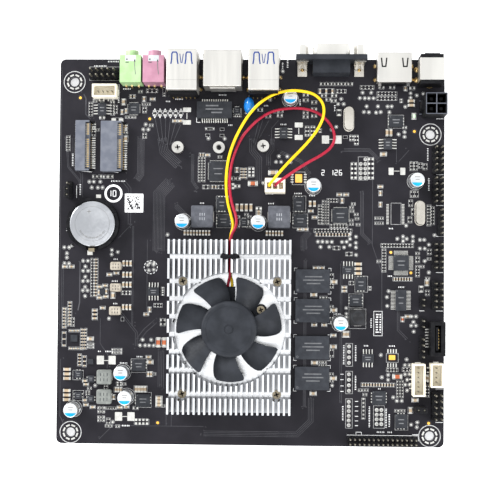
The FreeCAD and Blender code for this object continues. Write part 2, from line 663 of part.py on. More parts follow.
def make_audio_jack(label, x):
    """An audio jack: a block with a round collar and a blind bore."""
    front = f"{REAR} - jack_setback"
    axis = "board_thick + jack_axis"
    block = box(x, f"{front} - jack_long / 2", TOP, "jack_wide", "jack_long", "jack_tall")
    collar = rod(x, f"{front} - 1", axis, "jack_collar", "jack_collar_long + 1", "y")
    bore = rod(x, f"{front} + jack_collar_long - jack_bore_long", axis, "jack_bore", "jack_bore_long + 1",
               "y")
    keep(label, cut(join(block, collar), bore))


def make_usb(label, x):
    """A stacked port pair's metal shell, open to the rear; returns its plastic insert."""
    mouth = f"{REAR} + usb_over"
    inner_wide = "usb_wide - 2 * usb_wall"
    inner_tall = "usb_tall - 2 * usb_wall"
    foot = "board_thick + usb_wall"
    keep(label, cut(box(x, f"{mouth} - usb_long / 2", TOP, "usb_wide", "usb_long", "usb_tall"),
                    box(x, f"{mouth} - usb_long / 2 + usb_wall", foot, inner_wide, "usb_long", inner_tall)))
    back_end = f"{mouth} - usb_long + usb_wall"
    back = box(x, f"{back_end} + usb_back / 2", foot, inner_wide, "usb_back", inner_tall)
    shelf_long = "usb_long - usb_wall - 1"
    shelf = box(x, f"{back_end} + ({shelf_long}) / 2", f"{foot} + ({inner_tall}) / 2 - usb_shelf / 2",
                inner_wide, shelf_long, "usb_shelf")
    parts = [back, shelf]
    for level in ("usb_shelf / 2 + 3.4", "-usb_shelf / 2 - 2.75"):
        parts.append(box(x, f"{back_end} + usb_back + usb_tongue_long / 2 - 1",
                         f"{foot} + ({inner_tall}) / 2 + {level} - usb_tongue_thick / 2", "usb_tongue_wide",
                         "usb_tongue_long", "usb_tongue_thick"))
    return join(*parts)


def make_lan():
    """The network port: a metal shield around a plastic insert with the plug's mouth."""
    x = -12.3
    mouth = f"{REAR} + lan_over"
    inner_wide = "lan_wide - 2 * lan_wall"
    inner_long = "lan_long - lan_wall"
    block = box(x, f"{mouth} - lan_long / 2", TOP, "lan_wide", "lan_long", "lan_tall")
    hollow = box(x, f"{mouth} - ({inner_long}) / 2 + 1", TOP, inner_wide, f"{inner_long} + 2",
                 "lan_tall - lan_wall")
    keep("lan_shield", cut(block, hollow))
    insert = box(x, f"{mouth} - ({inner_long}) / 2", TOP, inner_wide, inner_long, "lan_tall - lan_wall")
    port = box(x, f"{mouth} - lan_mouth_deep / 2 + 0.5", "board_thick + 3.6", "lan_mouth_wide",
               "lan_mouth_deep + 1", "lan_mouth_tall")
    key = box(x, f"{mouth} - lan_mouth_deep / 2 + 0.5", "board_thick + 1.6", 6.2, "lan_mouth_deep + 1", 2.5)
    keep("lan_insert", cut(insert, port, key))


def d_prism(wide, tall, corner, long):
    """A solid of the D outline, long side up, lying along +Y."""
    slope = tall * math.tan(math.radians(10))
    outline = [FreeCAD.Vector(-wide / 2, 0, tall / 2), FreeCAD.Vector(wide / 2, 0, tall / 2),
               FreeCAD.Vector(wide / 2 - slope, 0, -tall / 2),
               FreeCAD.Vector(-wide / 2 + slope, 0, -tall / 2)]
    solid = Part.Face(Part.makePolygon(outline + outline[:1])).extrude(FreeCAD.Vector(0, long, 0))
    lengthwise = [edge for edge in solid.Edges if abs(edge.tangentAt(edge.FirstParameter).y) > 0.99]
    return solid.makeFillet(corner, lengthwise)


def make_monitor_port():
    """The D-shaped monitor port: plastic body, metal shell, two nuts and two brackets."""
    flange_y = f"{REAR} - monitor_flange_thick"
    body = join(box("monitor_x", f"{flange_y} + monitor_flange_thick / 2", TOP, "monitor_flange_wide",
                    "monitor_flange_thick", "monitor_tall"),
                box("monitor_x", f"{flange_y} - monitor_body_deep / 2", TOP, "monitor_body_wide",
                    "monitor_body_deep", "monitor_body_tall"))
    x = size("monitor_x")
    rear = size("board_length") / 2
    axis = size("board_thick") + size("monitor_tall") / 2
    wide = size("monitor_shell_wide")
    tall = size("monitor_shell_tall")
    wall = size("monitor_shell_wall")
    long = size("monitor_shell_long")
    outer = d_prism(wide, tall, 2.0, long)
    inner = d_prism(wide - 2 * wall, tall - 2 * wall, 1.6, long)
    keep("monitor_port_shell", shaped(outer.cut(inner), x, rear, axis))
    corner = FreeCAD.Vector(-wide / 2, 0, -tall / 2)
    plug_face = shaped(inner.common(Part.makeBox(wide, long - 0.5, tall, corner)), x, rear, axis)
    sockets = [rod(f"monitor_x + {(column - 2) * 2.29 + (row - 1) * 0.6}", f"{REAR} + 1",
                   f"board_thick + monitor_tall / 2 + {(1 - row) * 1.98}", 0.55, "monitor_shell_long", "y")
               for row in range(3) for column in range(5)]
    keep("monitor_port_body", cut(join(body, plug_face), *sockets))
    nuts = []
    brackets = []
    for side in (-1, 1):
        nut_x = f"monitor_x + {side} * monitor_nut_spacing / 2"
        nut = bind(DOC.addObject("Part::Prism", "Hexagon"), Circumradius="monitor_nut_radius",
                   Height="monitor_shell_long")
        nut.Placement = FreeCAD.Placement(FreeCAD.Vector(), FreeCAD.Rotation(FreeCAD.Vector(1, 0, 0), -90))
        put(nut, nut_x, REAR, "board_thick + monitor_tall / 2")
        nuts.append(cut(nut, rod(nut_x, f"{REAR} - 1", "board_thick + monitor_tall / 2", "monitor_nut_bore",
                                 "monitor_shell_long + 2", "y")))
        brackets.append(join(box(nut_x, f"{flange_y} - 0.3", TOP, 5.0, 0.6, 9.0),
                             box(nut_x, f"{flange_y} - 2.8", TOP, 4.2, 5.6, 0.6)))
    keep("monitor_port_nuts", group(nuts))
    keep("monitor_port_brackets", group(brackets))


def make_video_port():
    """The flat digital video port: shell and tongue."""
    mouth = f"{REAR} + video_over"
    inner_wide = "video_wide - 2 * video_wall"
    inner_tall = "video_tall - 2 * video_wall"
    foot = "board_thick + video_wall"
    keep("video_port_shell", cut(box("video_x", f"{mouth} - video_long / 2", TOP, "video_wide", "video_long",
                                     "video_tall"),
                                 box("video_x", f"{mouth} - video_long / 2 + video_wall", foot, inner_wide,
                                     "video_long", inner_tall)))
    back_end = f"{mouth} - video_long + video_wall"
    keep("video_port_tongue", join(box("video_x", f"{back_end} + 1.5", foot, inner_wide, 3.0, inner_tall),
                                   box("video_x", f"{back_end} + 6.4", f"{foot} + 2.3", 11.6, 8.2, 1.2)))


def make_dc_jack():
    """The power inlet: a black housing with a round bore, a metal shield over it and its centre pin."""
    mouth = f"{REAR} + dc_over"
    axis = "board_thick + dc_axis"
    inner_wide = "dc_wide - 2 * dc_shield"
    inner_tall = "dc_tall - dc_shield"
    block = box("dc_x", f"{mouth} - dc_long / 2", TOP, inner_wide, "dc_long", inner_tall)
    bore = rod("dc_x", f"{mouth} - dc_bore_deep", axis, "dc_bore", "dc_bore_deep + 1", "y")
    keep("dc_jack_housing", cut(block, bore))
    keep("dc_jack_pin", rod("dc_x", f"{mouth} - dc_bore_deep", axis, "dc_pin", "dc_bore_deep - 1", "y"))
    shield_long = "dc_long - 3.2"
    shield_y = f"{mouth} - 1.6 - ({shield_long}) / 2"
    keep("dc_jack_shield", cut(box("dc_x", shield_y, TOP, "dc_wide", shield_long, "dc_tall"),
                               box("dc_x", shield_y, TOP, inner_wide, f"{shield_long} + 2", inner_tall)))


def make_sockets():
    """The four-way power socket and the two card sockets."""
    body = join(box("socket_x", "socket_y", TOP, "socket_wide", "socket_wide", "socket_tall"),
                box("socket_x - socket_wide / 2 - 0.7", "socket_y", TOP, 1.4, 3.8, "socket_tall - 4"))
    cells = [box(x, y, "board_thick + socket_tall - socket_deep", "socket_cell", "socket_cell",
                 "socket_deep + 1") for x, y in grid("socket_x", "socket_y", 2, 2, "socket_pitch")]
    keep("power_socket", cut(body, *cells))
    contacts = []
    for label, x, wide, tall in (("card_socket_left", "card_left_x", "card_left_wide", "card_left_tall"),
                                 ("card_socket_right", "card_right_x", "card_right_wide", "card_right_tall")):
        y = "46.2" if label.endswith("left") else "45.8"
        slot_foot = f"board_thick + {tall} - 0.9 - card_slot"
        slot = box(f"{x} + ({wide} - card_slot_deep) / 2", y, slot_foot, "card_slot_deep", "card_long - 1.6",
                   "card_slot")
        lip = box(f"{x} + {wide} / 2 - 0.9", y, f"{slot_foot} + card_slot - 0.1", 1.8, "card_long - 1.6", 2)
        keep(label, cut(box(x, y, TOP, wide, "card_long", tall), slot, lip))
        for offset, long in ((-3.2, "card_long - 9.4"), (7.4, "card_long - 17")):
            contacts.append(box(f"{x} + {wide} / 2 - 1.4", f"{y} + {offset}", slot_foot, 2.2, long, 0.25))
    keep("card_socket_contacts", group(contacts))


def make_card_fixings():
    """Three standoffs for cards, two of them with their screws."""
    standoffs = []
    screws = []
    for number, (x, y) in enumerate(STANDOFFS):
        standoffs.append(cut(rod(x, y, TOP, "standoff_radius", "standoff_tall"),
                             rod(x, y, "board_thick + 0.6", "standoff_bore", "standoff_tall")))
        if number != 1:
            top = "board_thick + standoff_tall"
            cross = join(box(x, y, f"{top} + standoff_head - 0.6", 2.4, 0.6, 1),
                         box(x, y, f"{top} + standoff_head - 0.6", 0.6, 2.4, 1))
            shank = rod(x, y, "board_thick + 1.0", "standoff_bore - screw_clear", "standoff_tall")
            screws.append(cut(join(shank, rod(x, y, top, "standoff_radius", "standoff_head")), cross))
    keep("card_standoffs", group(standoffs))
    keep("card_screws", group(screws))


def make_cell():
    """The coin cell, its round holder and the spring latch at the front."""
    outer = "cell_radius + cell_clear + holder_wall"
    ring = cut(rod("cell_x", "cell_y", TOP, outer, "holder_tall"),
               rod("cell_x", "cell_y", "board_thick + holder_floor", "cell_radius + cell_clear",
                   "holder_tall"),
               box("cell_x", f"cell_y - ({outer})", "board_thick + holder_floor", "latch_wide + 3.0",
                   "2 * holder_wall + 2", "holder_tall"))
    keep("battery_holder", ring)
    keep("coin_cell", rod("cell_x", "cell_y", "board_thick + holder_floor", "cell_radius", "cell_thick"))
    blade_y = "cell_y - cell_radius - cell_clear - 0.6"
    blade_foot = "board_thick + holder_floor + latch_rise"
    keep("battery_latch", join(box("cell_x", blade_y, blade_foot, "latch_wide", "latch_thick", "latch_tall"),
                               box("cell_x", f"{blade_y} - 0.6", f"{blade_foot} + latch_tall - latch_thick",
                                   "latch_wide", 1.6, "latch_thick")))


def block_group(label, rows):
    """Plain chip bodies, each with its own size."""
    keep(label, group([box(x, y, TOP, wide, long, tall) for x, y, wide, long, tall in rows]))


def make_board_parts():
    """Cans, chokes, chips and the other soldered parts."""
    keep("capacitor_cans", group([rod(x, y, TOP, "can_radius", "can_tall") for x, y in CANS]))
    keep("power_chokes", group([box(x, y, TOP, "choke_side", "choke_side", "choke_tall") for x, y in CHOKES]))
    block_group("supply_chokes", SMALL_CHOKES)
    block_group("control_chips", CHIPS)
    block_group("power_transistors", TRANSISTORS)
    keep("memory_chips", group([box(x, y, TOP, "memory_wide", "memory_long", "memory_thick")
                                for x, y in MEMORY]))
    keep("lan_transformer", box(-16.1, 62.0, TOP, 15.4, 7.2, 5.0))
    disc = bind(DOC.addObject("Part::Ellipsoid", "Disc"), Radius1="disc_long / 2", Radius2="disc_thick / 2",
                Radius3="disc_long / 2")
    put(disc, "disc_x", "disc_y", f"{TOP} + disc_lift + disc_long / 2")
    keep("surge_disc", join(box("disc_x", "disc_y", TOP, 0.9, 5.0, "disc_lift + 2"), disc))
    cans = []
    for x, y in CRYSTALS:
        middle = box(x, y, TOP, "crystal_wide", "crystal_long - crystal_wide", "crystal_tall")
        ends = [rod(x, f"{y} + {side} * (crystal_long - crystal_wide) / 2", TOP, "crystal_wide / 2",
                    "crystal_tall") for side in (-1, 1)]
        cans.append(join(middle, *ends))
    keep("crystals", group(cans))
    ceramics = []
    for x, y, count, step_x, step_y, wide, long in CAPACITOR_ROWS:
        for number in range(count):
            ceramics.append(box(x + number * step_x, y + number * step_y, TOP, wide, long, 0.9))
    keep("chip_capacitors", group(ceramics))


def make_headers():
    """Pin headers, their pins, wafers, the fan header and plug, jumper caps and the drive port."""
    bases = []
    pins = []

    def header(x, y, columns, rows, step, top):
        bases.append(box(x, y, TOP, f"{columns} * {step}", f"{rows} * {step}", "header_tall"))
        for place in grid(x, y, columns, rows, step):
            pins.append(box(*place, "-pin_tail", "pin_side", "pin_side", f"{top} + pin_tail"))

    for x, y, columns, rows in HEADERS:
        header(x, y, columns, rows, "pitch", "pin_top")
    for y, rows, columns in EDGE_HEADERS:
        middle = f"{RIGHT} - edge_outer_row - {(columns - 1) / 2} * pitch"
        header(middle, y, columns, rows, "pitch", "pin_top")
    header(*FINE_HEADER, "fine_pitch", "fine_pin_top")
    keep("header_bases", group(bases))
    wafers = []
    for x, y, wide, long, columns, rows in WAFERS:
        wafers.append(cut(box(x, y, TOP, wide, long, "wafer_tall"),
                          box(x, y, "board_thick + wafer_floor", f"{wide} - 2 * wafer_wall",
                              f"{long} - 2 * wafer_wall", "wafer_tall")))
        for place in grid(x, y, max(columns, 1), max(rows, 1), "fine_pitch"):
            pins.append(box(*place, "-pin_tail", 0.5, 0.5, "board_thick + wafer_tall - 1 + pin_tail"))
    keep("wafer_connectors", group(wafers))
    plug_foot = "board_thick + fan_header_tall"
    wall_y = "plug_y + plug_deep / 2 + fan_header_wall / 2"
    keep("fan_header", join(box("plug_x", "plug_y", TOP, "plug_wide", "plug_deep", "fan_header_tall"),
                            box("plug_x", wall_y, TOP, "plug_wide", "fan_header_wall",
                                "fan_header_tall + 5")))
    for place in grid("plug_x", "plug_y", 3, 1, "pitch"):
        pins.append(box(*place, "-pin_tail", "pin_side", "pin_side", f"{plug_foot} + 4 + pin_tail"))
    windows = [box(x, y, f"{plug_foot} + plug_tall - plug_window_deep", "plug_window", "plug_window + 0.8",
                   "plug_window_deep + 1") for x, y in grid("plug_x", "plug_y", 3, 1, "pitch")]
    keep("fan_plug", cut(box("plug_x", "plug_y", plug_foot, "plug_wide", "plug_deep", "plug_tall"), *windows))
    for place in grid("socket_x", "socket_y", 2, 2, "socket_pitch"):
        pins.append(box(*place, "-pin_tail", 1.1, 1.1, "board_thick + socket_tall - 2 + pin_tail"))
    keep("header_pins", group(pins))
    cap_foot = "board_thick + header_tall + jumper_rise"
    for label, x, y, columns, rows in (("jumper_cap_left", -80.0, "26.7 - pitch / 2", 1, 2),
                                       ("jumper_cap_right", 74.4, -68.0, 2, 1)):
        cap = box(x, y, cap_foot, f"{columns} * pitch - 0.1", f"{rows} * pitch - 0.1", "jumper_tall")
        holes = [box(*place, f"{cap_foot} - 1", "jumper_hole", "jumper_hole", "jumper_tall + 2")
                 for place in grid(x, y, columns, rows, "pitch")]
        keep(label, cut(cap, *holes))
    sata_x = f"{RIGHT} - 3.6"
    slot = box(sata_x, -37.4, f"{TOP} + 2.2", 2.6, 11.6, "sata_tall")
    tongue = box(f"{sata_x} - 0.4", -37.4, TOP, 1.1, 10.2, "sata_tall - 0.6")
    keep("sata_port", join(cut(box(sata_x, -37.4, TOP, "sata_wide", "sata_long", "sata_tall"), slot), tongue))


def build():
    """Make every piece, check it and write its file."""
    fill_sheet()
    make_board()
    make_solder()
    make_cooler()
    make_fan()
    make_cord("fan_wire_yellow", YELLOW_ROUTE)
    make_cord("fan_wire_red", RED_ROUTE)
    make_clip()
    make_audio_jack("audio_jack_green", -52.4)
    make_audio_jack("audio_jack_pink", -42.4)
    inserts = [make_usb("usb_shell_left", -29.7), make_usb("usb_shell_right", 5.6)]
    keep("usb_inserts", group(inserts))
    make_lan()
    make_monitor_port()
    make_video_port()
    make_dc_jack()
    make_sockets()
    make_card_fixings()
    make_cell()
    make_board_parts()
    make_headers()
    DOC.recompute()
    for item in DOC.Objects:
        if {"Invalid", "Error"} & set(item.State):
            raise RuntimeError(f"{item.Name} {item.Label} did not build: {item.State}")
    os.makedirs("parts", exist_ok=True)
    for piece in PIECES:
        if piece.Shape.isNull() or not piece.Shape.isValid() or not piece.Shape.Solids:
            raise RuntimeError(f"{piece.Label} has no valid solid")
    for piece in PIECES:
        piece.Shape.exportStep(f"parts/{piece.Label}.step")
    print(len(PIECES), "pieces written")


build()
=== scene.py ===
"""The looks of a Mini-ITX single board computer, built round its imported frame.

Every Solid is drawn in millimetres in the frame's own axes: +X to the right when the ports face away,
+Y to the rear edge with the ports, +Z up from the board, and the board's underside at z = 0.
"""
import logging
import math
import random
from dataclasses import dataclass, field
from enum import Enum

import bmesh
import bpy
from mathutils import Matrix, Vector


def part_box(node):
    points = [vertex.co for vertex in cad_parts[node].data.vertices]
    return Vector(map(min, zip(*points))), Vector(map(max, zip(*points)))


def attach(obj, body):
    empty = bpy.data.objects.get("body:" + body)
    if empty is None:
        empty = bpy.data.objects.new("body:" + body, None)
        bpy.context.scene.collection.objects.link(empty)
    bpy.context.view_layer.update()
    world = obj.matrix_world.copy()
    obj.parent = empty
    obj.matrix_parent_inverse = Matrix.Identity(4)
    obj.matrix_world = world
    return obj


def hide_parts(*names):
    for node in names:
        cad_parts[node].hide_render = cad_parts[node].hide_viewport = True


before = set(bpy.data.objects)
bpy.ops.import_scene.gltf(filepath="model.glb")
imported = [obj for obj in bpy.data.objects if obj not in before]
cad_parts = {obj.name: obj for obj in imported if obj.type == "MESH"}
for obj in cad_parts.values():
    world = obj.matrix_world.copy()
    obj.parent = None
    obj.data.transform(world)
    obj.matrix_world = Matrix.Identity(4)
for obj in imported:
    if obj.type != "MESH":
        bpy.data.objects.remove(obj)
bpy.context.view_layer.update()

LOG = logging.getLogger("single_board_computer")
MM = 0.001
BOARD_TOP = 1.6
INK = 0.03
WIDE_PITCH = 2.54
FINE_PITCH = 2.03
X_AXIS, Y_AXIS, Z_AXIS = Vector((1, 0, 0)), Vector((0, 1, 0)), Vector((0, 0, 1))
Point = tuple[float, float]
Colour = tuple[float, float, float]
Spot = tuple[float, float, float]


# ---------------------------------------------------------------- finishes

class Grain(Enum):
    """How a finish's texture runs."""

    EVEN = (1.0, 1.0, 1.0)
    ALONG_X = (0.04, 1.0, 1.0)
    ALONG_Y = (1.0, 0.04, 1.0)
    ALONG_Z = (1.0, 1.0, 0.04)


@dataclass(frozen=True)
class Finish:
    """One surface finish, from which its node material is made."""

    name: str
    colour: Colour
    worn: Colour
    rough: float = 0.5
    rough_spread: float = 0.12
    metal: float = 0.0
    scale: float = 700.0
    grain: Grain = Grain.EVEN
    bump: float = 0.15
    depth: float = 0.00002
    coat: float = 0.0
    specular: float = 0.2
    speckle: float = 0.0
    # wall is a painted shade colour for the walls between a piece's floor and its top, not a colour of the metal
    wall: Colour | None = None
    painted_shade_span: tuple[float, float] = (0.4, 0.9)

    def material(self) -> bpy.types.Material:
        """The node material of this finish, made once.

        Returns:
            The material, with mottled colour, uneven roughness, a fine bump, and painted wall shade where a wall
            colour is given.
        """
        ready = bpy.data.materials.get(self.name)
        if ready:
            return ready
        made = bpy.data.materials.new(self.name)
        made.use_nodes = True
        nodes, links = made.node_tree.nodes, made.node_tree.links
        shader = nodes["Principled BSDF"]
        shader.inputs["Metallic"].default_value = self.metal
        shader.inputs["Coat Weight"].default_value = self.coat
        shader.inputs["Coat Roughness"].default_value = 0.12
        shader.inputs["Specular IOR Level"].default_value = self.specular
        place = nodes.new("ShaderNodeTexCoord")
        stretch = nodes.new("ShaderNodeMapping")
        stretch.inputs["Scale"].default_value = self.grain.value
        links.new(place.outputs["Object"], stretch.inputs["Vector"])
        broad = self._noise(nodes, links, stretch, self.scale * 0.25, 3.0)
        fine = self._noise(nodes, links, stretch, self.scale * 2.2, 5.0)
        blend = nodes.new("ShaderNodeMix")
        blend.data_type = "RGBA"
        blend.inputs["A"].default_value = (*self.colour, 1.0)
        blend.inputs["B"].default_value = (*self.worn, 1.0)
        share = self._range(nodes, links, broad, 0.35, 0.68, 0.0, 1.0)
        if self.speckle:
            dust = self._range(nodes, links, fine, 0.6, 0.72, 0.0, self.speckle)
            either = nodes.new("ShaderNodeMath")
            either.operation = "MAXIMUM"
            links.new(share, either.inputs[0])
            links.new(dust, either.inputs[1])
            share = either.outputs[0]
        links.new(share, blend.inputs["Factor"])
        colour = blend.outputs["Result"]
        # painted shade: darken the walls between the floor and the top towards the wall colour
        if self.wall:
            colour = self._paint_wall_shade(nodes, links, place, colour)
        links.new(colour, shader.inputs["Base Color"])
        gloss = self._range(nodes, links, fine, 0.3, 0.7, self.rough - self.rough_spread / 2,
                            self.rough + self.rough_spread / 2)
        links.new(gloss, shader.inputs["Roughness"])
        relief = nodes.new("ShaderNodeBump")
        relief.inputs["Strength"].default_value = self.bump
        relief.inputs["Distance"].default_value = self.depth
        links.new(fine, relief.inputs["Height"])
        links.new(relief.outputs["Normal"], shader.inputs["Normal"])
        return made

    def _paint_wall_shade(self, nodes: bpy.types.Nodes, links: bpy.types.NodeLinks, place: bpy.types.Node,
               colour: bpy.types.NodeSocket) -> bpy.types.NodeSocket:
        """The colour, darkened on the walls between a piece's floor and its top, as painted shade for the deep gaps
        between fins.
        """
        parts = nodes.new("ShaderNodeSeparateXYZ")
        links.new(place.outputs["Generated"], parts.inputs["Vector"])
        low, high = self.painted_shade_span
        rise = self._range(nodes, links, parts.outputs["Z"], low, low + 0.04, 0.0, 1.0)
        fall = self._range(nodes, links, parts.outputs["Z"], high - 0.1, high, 1.0, 0.0)
        both = nodes.new("ShaderNodeMath")
        both.operation = "MULTIPLY"
        links.new(rise, both.inputs[0])
        links.new(fall, both.inputs[1])
        blend = nodes.new("ShaderNodeMix")
        blend.data_type = "RGBA"
        links.new(both.outputs[0], blend.inputs["Factor"])
        links.new(colour, blend.inputs["A"])
        blend.inputs["B"].default_value = (*self.wall, 1.0)
        return blend.outputs["Result"]

    @staticmethod
    def _noise(nodes: bpy.types.Nodes, links: bpy.types.NodeLinks, source: bpy.types.Node, scale: float,
               detail: float) -> bpy.types.NodeSocket:
        """A noise of one scale, read through the stretched coordinates."""
        noise = nodes.new("ShaderNodeTexNoise")
        noise.inputs["Scale"].default_value = scale
        noise.inputs["Detail"].default_value = detail
        links.new(source.outputs["Vector"], noise.inputs["Vector"])
        return noise.outputs["Fac"]

    @staticmethod
    def _range(nodes: bpy.types.Nodes, links: bpy.types.NodeLinks, source: bpy.types.NodeSocket, low: float,
               high: float, to_low: float, to_high: float) -> bpy.types.NodeSocket:
        """A value mapped smoothly from one range to another."""
        spread = nodes.new("ShaderNodeMapRange")
        spread.interpolation_type = "SMOOTHSTEP"
        for socket, value in zip(("From Min", "From Max", "To Min", "To Max"), (low, high, to_low, to_high)):
            spread.inputs[socket].default_value = value
        links.new(source, spread.inputs["Value"])
        return spread.outputs["Result"]


MASK = Finish("black_solder_mask", (0.0092, 0.0085, 0.0112), (0.0138, 0.0128, 0.0163), 0.42, 0.16,
              scale=240.0,
              bump=0.10, specular=0.12)
TRACE = Finish("masked_copper", (0.036, 0.036, 0.041), (0.055, 0.054, 0.060), 0.34, 0.10)
INKED = Finish("white_ink", (0.62, 0.62, 0.62), (0.78, 0.78, 0.77), 0.62, 0.1, scale=2600.0, bump=0.2)
FAINT_INK = Finish("thin_white_ink", (0.30, 0.30, 0.30), (0.46, 0.46, 0.45), 0.65, 0.1, scale=2600.0,
                   bump=0.2)
TINNED = Finish("tinned_pad", (0.52, 0.51, 0.48), (0.66, 0.65, 0.61), 0.30, 0.18, 0.85, 1500.0, bump=0.35)
SOLDER = Finish("fused_solder", (0.44, 0.44, 0.43), (0.58, 0.58, 0.57), 0.30, 0.16, 1.0, 1300.0, bump=0.4)
PIN = Finish("worn_pin_plate", (0.20, 0.185, 0.15), (0.30, 0.28, 0.23), 0.4, 0.14, 0.9, 1200.0, bump=0.2)
TARGET_GOLD = Finish("bright_gold_plate", (0.80, 0.42, 0.06), (0.92, 0.52, 0.12), 0.4, 0.1, 0.5, 1200.0,
                     bump=0.2)
GILT = Finish("gold_plate", (0.52, 0.36, 0.15), (0.66, 0.49, 0.24), 0.28, 0.12, 0.95, 1200.0, bump=0.2)
PORT_STEEL = Finish("tin_plated_shell", (0.50, 0.485, 0.455), (0.60, 0.585, 0.55), 0.38, 0.14, 0.9, 320.0,
                    Grain.ALONG_Y, bump=0.10)
DARK_STEEL = Finish("shadowed_steel", (0.16, 0.16, 0.16), (0.26, 0.25, 0.24), 0.42, 0.14, 0.8, 500.0)
# its wall colour is painted shade that darkens the fin walls in the deep gaps between fins
FIN_METAL = Finish("bright_extruded_aluminium", (0.66, 0.67, 0.69), (0.78, 0.79, 0.80), 0.34, 0.14, 0.85,
                   420.0,
                   Grain.ALONG_Y, bump=0.22, depth=0.00003, wall=(0.30, 0.305, 0.32), painted_shade_span=(0.22, 0.97))
WELL_METAL = Finish("machined_well_floor", (0.74, 0.74, 0.745), (0.84, 0.84, 0.845), 0.26, 0.12, 1.0, 300.0,
                    Grain.ALONG_X, bump=0.08)
SCREW_METAL = Finish("passivated_screw", (0.22, 0.185, 0.125), (0.36, 0.31, 0.23), 0.34, 0.14, 1.0, 700.0,
                     bump=0.3)
SILVER = Finish("nickel_standoff", (0.46, 0.445, 0.415), (0.58, 0.565, 0.53), 0.26, 0.14, 0.95, 900.0,
                bump=0.2)
CELL_STEEL = Finish("brushed_cell_steel", (0.29, 0.297, 0.312), (0.37, 0.378, 0.393), 0.40, 0.14, 0.85, 500.0,
                    bump=0.12)
CAN_METAL = Finish("drawn_can", (0.56, 0.57, 0.58), (0.66, 0.67, 0.675), 0.30, 0.12, 0.85, 600.0, bump=0.10)
CRYSTAL_METAL = Finish("crystal_can", (0.45, 0.42, 0.37), (0.56, 0.53, 0.475), 0.28, 0.12, 1.0, 400.0,
                       bump=0.12)
COPPER = Finish("winding_copper", (0.48, 0.20, 0.08), (0.70, 0.34, 0.16), 0.35, 0.12, 0.9, 2600.0, bump=0.6)
BRONZE = Finish("sintered_bronze", (0.42, 0.27, 0.10), (0.58, 0.40, 0.18), 0.5, 0.2, 0.9, 3000.0, bump=0.6)
BLACK = Finish("black_nylon", (0.004, 0.004, 0.005), (0.009, 0.009, 0.010), 0.52, 0.16, scale=1600.0,
               bump=0.25,
               specular=0.08)
FAN_BLACK = Finish("charcoal_fan_plastic", (0.013, 0.0145, 0.018), (0.021, 0.023, 0.028), 0.52, 0.14,
                   scale=700.0,
                   bump=0.12, specular=0.14, speckle=0.12)
EPOXY = Finish("moulded_chip_epoxy", (0.0165, 0.018, 0.0215), (0.024, 0.0255, 0.030), 0.55, 0.16,
               scale=1800.0,
               bump=0.35, specular=0.16)
MEMORY_EPOXY = Finish("memory_epoxy", (0.026, 0.028, 0.034), (0.035, 0.038, 0.045), 0.50, 0.14, scale=1500.0,
                      bump=0.3, specular=0.16)
LASERED = Finish("laser_mark", (0.11, 0.112, 0.118), (0.15, 0.152, 0.158), 0.7, 0.1, scale=2500.0)
FERRITE = Finish("grey_choke_powder", (0.060, 0.063, 0.074), (0.084, 0.087, 0.101), 0.55, 0.2, scale=2200.0,
                 bump=0.5, speckle=0.35)
SMALL_FERRITE = Finish("pale_choke_powder", (0.13, 0.138, 0.130), (0.18, 0.188, 0.175), 0.6, 0.2,
                       scale=2200.0,
                       bump=0.5, speckle=0.3)
DARK_FERRITE = Finish("dark_choke_powder", (0.010, 0.010, 0.011), (0.022, 0.022, 0.024), 0.6, 0.2,
                      scale=2200.0,
                      bump=0.5)
BEIGE_FERRITE = Finish("beige_choke_top", (0.25, 0.22, 0.18), (0.34, 0.305, 0.25), 0.6, 0.2, scale=2200.0,
                       bump=0.5)
CERAMIC = Finish("tan_ceramic", (0.27, 0.205, 0.135), (0.38, 0.30, 0.21), 0.45, 0.15, scale=1500.0)
RESISTOR = Finish("resistor_glaze", (0.020, 0.020, 0.022), (0.04, 0.04, 0.043), 0.35, 0.1, scale=1500.0)
LIME = Finish("lime_jack_plastic", (0.25, 0.38, 0.18), (0.30, 0.44, 0.23), 0.42, 0.12, scale=900.0, bump=0.12)
PINK = Finish("pink_jack_plastic", (0.31, 0.15, 0.205), (0.37, 0.19, 0.25), 0.42, 0.12, scale=900.0,
              bump=0.12)
BLUE = Finish("blue_port_plastic", (0.006, 0.026, 0.13), (0.010, 0.038, 0.18), 0.4, 0.12, scale=900.0,
              bump=0.12)
AZURE = Finish("azure_can_band", (0.0, 0.22, 0.50), (0.01, 0.29, 0.58), 0.42, 0.1, scale=1500.0)
DISC_BLUE = Finish("dipped_blue_lacquer", (0.004, 0.12, 0.42), (0.01, 0.18, 0.52), 0.22, 0.1, scale=600.0,
                   bump=0.5,
                   coat=0.5)
IVORY = Finish("ivory_nylon", (0.68, 0.63, 0.51), (0.76, 0.71, 0.60), 0.42, 0.14, scale=1100.0, bump=0.15)
SLATE = Finish("slate_socket_plastic", (0.086, 0.093, 0.115), (0.114, 0.121, 0.143), 0.45, 0.14, scale=1200.0,
               bump=0.2)
YELLOW_JACKET = Finish("yellow_insulation", (0.66, 0.42, 0.004), (0.74, 0.50, 0.010), 0.38, 0.12,
                       scale=1500.0,
                       bump=0.12)
RED_JACKET = Finish("red_insulation", (0.27, 0.007, 0.024), (0.32, 0.012, 0.034), 0.38, 0.12, scale=1500.0,
                    bump=0.12)
PAD_GREY = Finish("thermal_pad_grey", (0.28, 0.29, 0.31), (0.36, 0.37, 0.39), 0.8, 0.1, scale=1500.0,
                  bump=0.4)
MAGNET = Finish("bonded_magnet", (0.03, 0.03, 0.03), (0.05, 0.05, 0.05), 0.6, 0.15, scale=2400.0, bump=0.5)
GREEN_LAMP = Finish("lamp_lens", (0.42, 0.62, 0.40), (0.60, 0.75, 0.52), 0.3, 0.1, scale=1500.0)
AMBER = Finish("amber_chip", (0.30, 0.07, 0.03), (0.42, 0.14, 0.06), 0.35, 0.1, scale=1500.0)


# ---------------------------------------------------------------- mesh work

